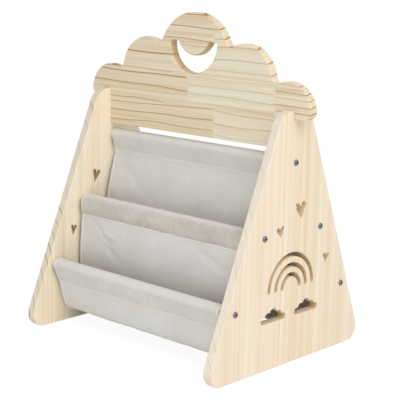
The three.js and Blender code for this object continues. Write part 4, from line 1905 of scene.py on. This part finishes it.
@dataclass
class Pocket:
    """One pocket: a wall hung from the seam above, its rounded bottom, its front wall and sleeve.

    The profile runs in (reach, height) from the hanging seam down the back wall, round the
    bottom and up the front wall, round the rod, and back down to the seam behind the front wall.
    """

    name: str
    rod: str
    hung_from: str
    hung_sleeve: Sleeve
    sleeve: Sleeve
    side: Side
    finish: Material
    stitching: Stitching
    inset: float  # from the rod to the middle of the rounded bottom
    drop: float
    bottom_radius: float
    back_top: float  # lean of the walls, in degrees outwards from upright
    back_foot: float
    front_foot: float
    front_top: float
    creases: tuple[Crease, ...] = ()
    seed: int = 1
    slack: float = 2.4  # how far the sleeve stands off its rod in front
    puff: float = 14.0  # how much the sleeve swells above its seam, in degrees
    # band_shade: painted shade on the sleeve between its seam and its rod
    band_shade: float = 0.2  # how much darker the sleeve looks than the wall
    lap: float = 4.0  # of cloth above the hanging seam
    lap_stitches: float = 2.2  # from the cloth's upper edge
    seam_stitches: float = 2.8  # from the seam
    hem_stitches: float = 5.0  # from the side edges
    belly: float = 3.0
    flute: float = 1.0
    flutes: int = 3

    def profile(self) -> tuple[Array, Array]:
        """The middle line of the cloth.

        Returns:
            Its points, and how far along it each of its parts ends.
        """
        rod, hung_rod = rod_place(self.rod), rod_place(self.hung_from)
        hung = self.hung_sleeve.seam(hung_rod)
        wall_up = units(self.hung_sleeve.loop(hung_rod, WRAP + 2 * LAYER)[0] - hung)
        start = hung + right_of(wall_up) * 3 * LAYER
        above = start + wall_up * self.lap
        centre = rod - [self.inset, self.drop]
        first = math.pi + math.radians(self.back_foot)
        last = math.tau - math.radians(self.front_foot)
        bottom = arc(centre, self.bottom_radius, first, last, step=1.0)
        back = bezier(start, -lean_vector(-self.back_top), bottom[0], -lean_vector(-self.back_foot))
        seam = self.sleeve.seam(rod)
        rising = lean_vector(self.front_top)
        layer = right_of(rising) * LAYER
        front = bezier(bottom[-1], lean_vector(self.front_foot), seam + layer, rising)
        loop = self.sleeve.loop(rod, WRAP, self.slack)
        swollen, arriving = lean_vector(self.front_top + self.puff), units(loop[1] - loop[0])
        rise = bezier(front[-1], swollen, loop[0], arriving, handle_share=0.4)
        tail = front[::-1] - 2 * layer
        tail_length = np.linalg.norm(tail - tail[0], axis=1)
        tail = tail[(tail_length > 1.5) & (tail_length < ALLOWANCE)]
        inner = (seam - layer)[None]
        return open_line([above[None], back, bottom, front, rise, loop, inner, tail])

    def build(self) -> list[Object]:
        """Makes the pocket and its stitches.

        Returns:
            The cloth and its stitching.
        """
        profile, ends = self.profile()
        marks = Marks(*ends[1:5])

        def overlaid(s: Array) -> Array:
            """How much painted shade darkens the cloth: from the seam to a little way round the
            rod.
            """
            begun = self.band_shade * ease(s, marks.seam, marks.seam + 1)
            return begun * (1 - ease(s, marks.roll + 4, marks.roll + 14))

        cloth = Cloth(
            self.name, profile, self.folds(marks), self.side, layers=overlaid, seams=(marks.seam,),
        )
        face, hem = cloth.thickness / 2, cloth.width / 2 - self.hem_stitches
        lines = [
            cloth.row_line(marks.seam + self.seam_stitches, face),
            cloth.row_line(self.lap_stitches, -face),
            *[
                cloth.column_line(x, facing, 8, cloth.length - ALLOWANCE - 4)
                for x in (-hem, hem)
                for facing in (-face, face)
            ],
        ]
        return cloth.hang(self.rod, self.finish, self.stitching, lines)

    def folds(self, marks: Marks) -> Callable[[Array, Array], Array]:
        """How far the cloth stands out of the pocket at each place.

        Each wall bellies by a squared sine from the seam to the bottom, times a squared cosine
        across, with upright flutes. Creases and soft rumples are added away from the rods, small
        puckers along the seam, and low dimples where the sleeve is loose before its rod. Round
        the rod nothing moves.

        Args:
            marks: places along the cloth.

        Returns:
            The lift as a function of the place across and down the cloth.
        """
        bottom, seam = (marks.foot + marks.turn) / 2, marks.seam

        def lift(x: Array, s: Array) -> Array:
            """Adds up the belly, flutes, rumples, creases, puckers, dimples and the seam's groove.

            Args:
                x: place across the cloth.
                s: place down it.

            Returns:
                The lift.
            """
            share = x / Cloth.width
            down = np.clip(s / bottom, 0, 1) + np.clip((s - bottom) / (seam - bottom), 0, 1)
            wall = np.sin(down * math.pi) ** 2 * (s < seam)
            broad = self.belly * np.cos(math.pi * share) ** 2
            waves = np.sin(math.tau * self.flutes * share)
            fluted = self.flute * waves * np.cos(math.pi * share)
            free = ease(s, 8, 34) * (1 - ease(s, seam - 14, seam - 1))
            soft = rumpled(x, s, SOFT, self.seed)
            pucker = rumpled(x, 0 * s, PUCKERS, self.seed)
            near = np.exp(-(((s - seam + 5) / 6) ** 2)) * (s < seam)
            loose = ease(s, seam + 1, seam + 7) * (1 - ease(s, marks.roll, marks.roll + 11))
            dimple = rumpled(x, s, DIMPLES, self.seed, 0.45)
            groove = -0.4 * np.exp(-(((s - seam) / 1.8) ** 2))
            creased = sum((crease.lift(x, s) for crease in self.creases), unmoved(x, s))
            creased = creased * ease(s, 4, 12) * (s < seam)
            lying = (broad + fluted) * wall + soft * free + creased
            return lying + pucker * near + dimple * loose + groove

        return lift


UPPER_CREASES = {
    Side.FRONT: (Crease((-190, 20), (-120, 70), 9, 1.1), Crease((60, 24), (170, 62), 14, -0.9)),
    Side.REAR: (Crease((100, 14), (186, 60), 10, 1.0),),
}
LOWER_CREASES = {
    Side.FRONT: (
        Crease((-184, 6), (-128, 52), 5, 2.4),
        Crease((-170, 26), (-104, 40), 6, -1.8),
        Crease((-150, 48), (-96, 84), 7, 1.6),
        Crease((88, 10), (168, 48), 8, 1.6),
        Crease((10, 6), (-30, 50), 9, -1.0),
    ),
    Side.REAR: (Crease((-170, 10), (-90, 58), 8, 1.3),),
}


@dataclass
class TopSleeve:
    """The sleeve on the top rod, from whose seam both upper pockets hang."""

    sleeve: Sleeve
    finish: Material
    stitching: Stitching
    seam_stitches: float = 3.0  # from the seam

    def build(self) -> list[Object]:
        """Makes the sleeve and its stitches.

        Returns:
            The cloth and its stitching.
        """
        rod = rod_place("top")
        seam, aside, tail = self.sleeve.seam(rod), np.array([LAYER, 0]), np.array([0, ALLOWANCE])
        first, last = np.array([seam + aside - tail, seam + aside]), np.array([seam - aside])
        profile, _ = open_line([first, self.sleeve.loop(rod, WRAP), last, last - tail])
        cloth = Cloth("top_sleeve", profile, unmoved, Side.REAR, crease=50)
        inset = ALLOWANCE + self.seam_stitches
        places = (inset, cloth.length - inset)
        lines = [cloth.row_line(place, cloth.thickness / 2) for place in places]
        return cloth.hang("top", self.finish, self.stitching, lines)


# The studio


@dataclass
class Studio:
    """A white floor and surround, a large soft lamp, a weak low one and the photograph's view."""

    azimuth: float = 42.78
    elevation: float = 11.44
    roll: float = 0.023
    distance: float = 2.09286
    target: Triple = (0.01546, 0.00173, 0.26143)
    lens: float = 100.52  # on a sensor 36 mm wide
    ambient: float = 0.66
    key_watts: float = 35.6
    key_place: Triple = (2.1, -0.85, 2.3)
    key_size: float = 1.7
    fill_watts: float = 0.93
    fill_place: Triple = (0.05, -0.75, 0.1)
    fill_aim: Triple = (0.0, -0.15, 0.1)
    fill_size: float = 0.5
    fill_colour: Triple = (0.8, 0.97, 1.0)
    floor_reach: float = 6.0
    floor_colour: str = "#f8f8f7"
    floor_shade: str = "#5a5a5a"  # the darker, the fainter the shadow that the camera sees
    floor_glow: float = 0.93

    def camera(self) -> Object:
        """The camera, looking back along its own Z at the shelf."""
        az, el = math.radians(self.azimuth), math.radians(self.elevation)
        back = Vector((math.sin(az) * math.cos(el), -math.cos(az) * math.cos(el), math.sin(el)))
        right = Vector((math.cos(az), math.sin(az), 0))
        up = back.cross(right)
        across = right * math.cos(self.roll) + up * math.sin(self.roll)
        upright = up * math.cos(self.roll) - right * math.sin(self.roll)
        place = Vector(self.target) + back * self.distance
        lens = bpy.data.cameras.new("camera")
        lens.lens = self.lens
        lens.sensor_width = 36.0
        camera = bpy.data.objects.new("camera", lens)
        turned_to = Matrix((across, upright, back)).transposed()
        camera.matrix_world = Matrix.Translation(place) @ turned_to.to_4x4()
        bpy.context.scene.collection.objects.link(camera)
        bpy.context.scene.camera = camera
        return camera

    def seen_white(self, tree: Tree) -> Socket:
        """One where the camera, a reflection or a view through glass looks.

        Args:
            tree: the node tree.

        Returns:
            The value.
        """
        path = add(tree, "LightPath").node
        camera, glossy, through = (
            path.outputs[f"Is {kind} Ray"] for kind in ("Camera", "Glossy", "Transmission")
        )
        first = add(tree, "Math", {0: camera, 1: glossy}, "MAXIMUM")
        return add(tree, "Math", {0: first, 1: through}, "MAXIMUM")

    def surround(self) -> None:
        """White from every side, at a plain level."""
        world = bpy.data.worlds.new("surround")
        world.use_nodes = True
        tree = world.node_tree
        tree.nodes.clear()
        lit = add(tree, "Background", {"Color": (1, 1, 1, 1), "Strength": self.ambient})
        seen = add(tree, "Background", {"Color": (1, 1, 1, 1), "Strength": 1.0})
        mixed = add(tree, "MixShader", {0: self.seen_white(tree), 1: lit, 2: seen})
        add(tree, "OutputWorld", {0: mixed})
        bpy.context.scene.world = world

    def floor(self) -> Object:
        """A white floor that keeps a faint shadow of the shelf."""
        material, tree = new_material("white studio floor")
        plain = add(tree, "BsdfDiffuse", {"Color": linear(self.floor_colour)})
        shadowed = add(tree, "BsdfDiffuse", {"Color": linear(self.floor_shade)})
        glow = add(tree, "Emission", {"Color": (1, 1, 1, 1), "Strength": self.floor_glow})
        white = add(tree, "AddShader", {0: shadowed, 1: glow})
        mixed = add(tree, "MixShader", {0: self.seen_white(tree), 1: plain, 2: white})
        add(tree, "OutputMaterial", {0: mixed})
        reach = self.floor_reach / MILLIMETRE
        corners = np.array([(-1, -1, 0), (1, -1, 0), (1, 1, 0), (-1, 1, 0)]) * reach
        floor = Shell(corners, [np.array([[0, 1, 2, 3]])]).as_object("floor", material)
        return floor

    def lamp(
        self, name: str, watts: float, place: Triple, size: float, aim: Triple,
        colour: Triple = (1, 1, 1),
    ) -> Object:
        """Adds one square soft lamp.

        Args:
            name: its name.
            watts: its power.
            place: its middle, in metres.
            size: its side, in metres.
            aim: the point it faces.
            colour: of its light.

        Returns:
            The lamp.
        """
        light = bpy.data.lights.new(name, "AREA")
        light.size, light.energy, light.color = size, watts, colour
        made = bpy.data.objects.new(name, light)
        turn = (Vector(aim) - Vector(place)).to_track_quat("-Z", "Y").to_matrix()
        made.matrix_world = Matrix.Translation(place) @ turn.to_4x4()
        bpy.context.scene.collection.objects.link(made)
        return made

    def build(self) -> None:
        """Sets up camera, surround, floor and lamps."""
        self.camera()
        self.surround()
        self.floor()
        self.lamp("key", self.key_watts, self.key_place, self.key_size, self.target)
        fill = self.fill_watts, self.fill_place, self.fill_size, self.fill_aim, self.fill_colour
        self.lamp("low_fill", *fill)
        bpy.context.scene.view_settings.view_transform = "Standard"


def finishes() -> dict[str, Material]:
    """The shelf's finishes by name."""
    pale = Growth(0.12, 0.55, 17.0, -140.0, 40.0, 0.01)
    board = Pine(
        "pine head board, finger-jointed",
        grain=0, stave=2, stave_width=57.0, first_stave=381.0,
        growths=(
            (
                Growth(0.45, 1.1, 18.0, -122.0, 30.0, -0.02),
                Growth(0.2, 0.6, 19.0, -130.0, 35.0, 0.01),
                pale,
            ),
            (
                Growth(0.45, 1.1, 25.0, -119.5, 30.0, 0.02),
                pale,
                Growth(0.3, 1.4, 11.0, -77.0, 25.0, 0.04),
            ),
            (
                Growth(0.4, 1.0, 31.0, -112.0, 28.0, -0.01),
                Growth(0.15, 0.6, 22.0, -112.5, 35.0, 0.02),
                pale,
            ),
            (
                Growth(0.38, 1.4, 22.0, -118.4, 30.0, 0.02),
                Growth(0.2, 1.2, 15.0, -118.0, 30.0, -0.01),
                pale,
            ),
        ),
        joints=((58.0, JOINT_REACH), (-9.0, 199.0), (-48.0, JOINT_REACH), (54.0, JOINT_REACH)),
        pale="#ece1ca", dark="#d2ba8c", blush="#e8d5bb", streak=0.5, streak_width=6.0,
        line="#b9862e", strong_line="#96601a", line_share=0.22, faint=0.13, unevenness=0.3,
        sway=5.0, cut="#c4a06c",
    )
    right = Pine(
        "pine right panel",
        grain=2, stave=1, stave_width=86.0, first_stave=-211.0, middle=231.0, seed=11.0,
        growths=(
            (Growth(0.36, 0.55, 10.0, 120.0, 50.0, 0.01),),
            (Growth(0.32, 0.4, 12.0, -110.0, -60.0, 0.0),),
            (Growth(0.42, 0.55, 13.0, 150.0, -60.0, 0.0),),
            (Growth(0.36, 0.45, 14.0, -120.0, -80.0, 0.0),),
            (Growth(0.2, 0.3, 9.0, -130.0, -60.0, 0.0),),
        ),
        pale="#f4e8d4", dark="#e6cea6", blush="#f2dac4", streak=0.45, streak_width=14.0,
        line="#d9b27a", strong_line="#c88f58", faint=0.24, sway=2.0,
        edge="#e4d9cc", edge_share=0.6, edge_line="#b5a080", edge_strength=1.3,
        cut="#ecd3a9", cut_share=0.75,
    )
    quiet = (Growth(0.15, 0.25, 14.0, -120.0, -80.0, 0.0),)
    # The left panel's copy is paler, as painted light on its inner face, and its holes' walls
    # darker, as painted shade
    left = replace(
        right, name="pine left panel", middle=-231.0, seed=23.0,
        growths=((Growth(0.3, 0.9, 9.0, -70.0, -50.0, 0.015),), *(quiet,) * 4),
        pale="#fbefd8", streak=0.25, blushing=0.15,
        edge="#d0c6b4", edge_share=0.65, edge_line="#9c8a6c", edge_strength=3.2, cut="#c09661",
    )
    rod = Pine(
        "pine dowel, turned",
        grain=0, stave=2, stave_width=900.0, first_stave=-300.0, sway=2.0, edge_share=0.0,
        growths=((Growth(0.4, 0.5, 3.0, 200.0, 20.0, 0.0),),),
    )
    return {
        "board": board.material(),
        "right_panel": right.material(),
        "left_panel": left.material(),
        "rod": rod.material(),
        "canvas": Canvas().material(),
        "thread": Thread().material(),
        "steel": Metal("zinc-plated steel, blue", "#8e939b", "#646a74", 0.42).material(),
        "alloy": Metal("cast zinc alloy", "#c4b68c", "#a39670", 0.4).material(),
    }


def main() -> None:
    """Builds the shelf piece by piece, then the studio round it."""
    logging.basicConfig(level=logging.INFO, format="%(name)s: %(message)s")
    finish = finishes()
    Studio().build()
    right_hearts = (
        Heart(0.094, 0.608, 0.063, 1.05, 6),
        Heart(-0.157, 0.538, 0.0435, 1.0, 7),
        Heart(0.456, 0.39, 0.04, 1.05, -7),
    )
    left_hearts = (
        Heart(-0.213, 0.62, 0.04, 1.38, -15),
        Heart(0.055, 0.573, 0.06, 1.05, 0),
        Heart(-0.478, 0.396, 0.031, 1.42, -10),
    )
    SidePanel("right_side_panel", right_hearts, finish["right_panel"]).build()
    SidePanel("left_side_panel", left_hearts, finish["left_panel"]).build()
    HeadBoard(finish["board"]).build()
    for name in BoltedRod.NAMES:
        BoltedRod(name, finish["rod"], finish["steel"], finish["alloy"]).build()
    sewn = finish["canvas"], Stitching(finish["thread"])
    top, upper, lower = Sleeve(36.0, 0.0), Sleeve(31.5, 16.0), Sleeve(36.0, -4.5)
    TopSleeve(top, *sewn).build()
    for side in Side:
        where = side.name.lower()
        Pocket(
            f"{where}_upper_pocket", f"{where}_upper", "top", top, upper, side, *sewn,
            inset=25.3, drop=79.0, bottom_radius=16.0,
            back_top=15.0, back_foot=4.0, front_foot=25.0, front_top=15.0,
            # the upper sleeves carry more painted shade
            creases=UPPER_CREASES[side], seed=5 + side.value, band_shade=0.55,
        ).build()
        Pocket(
            f"{where}_lower_pocket", f"{where}_lower", f"{where}_upper", upper, lower, side, *sewn,
            inset=35.5, drop=73.3, bottom_radius=21.0,
            back_top=10.0, back_foot=0.0, front_foot=24.0, front_top=17.0,
            creases=LOWER_CREASES[side], seed=15 + side.value,
        ).build()


if __name__ == "__main__":
    main()
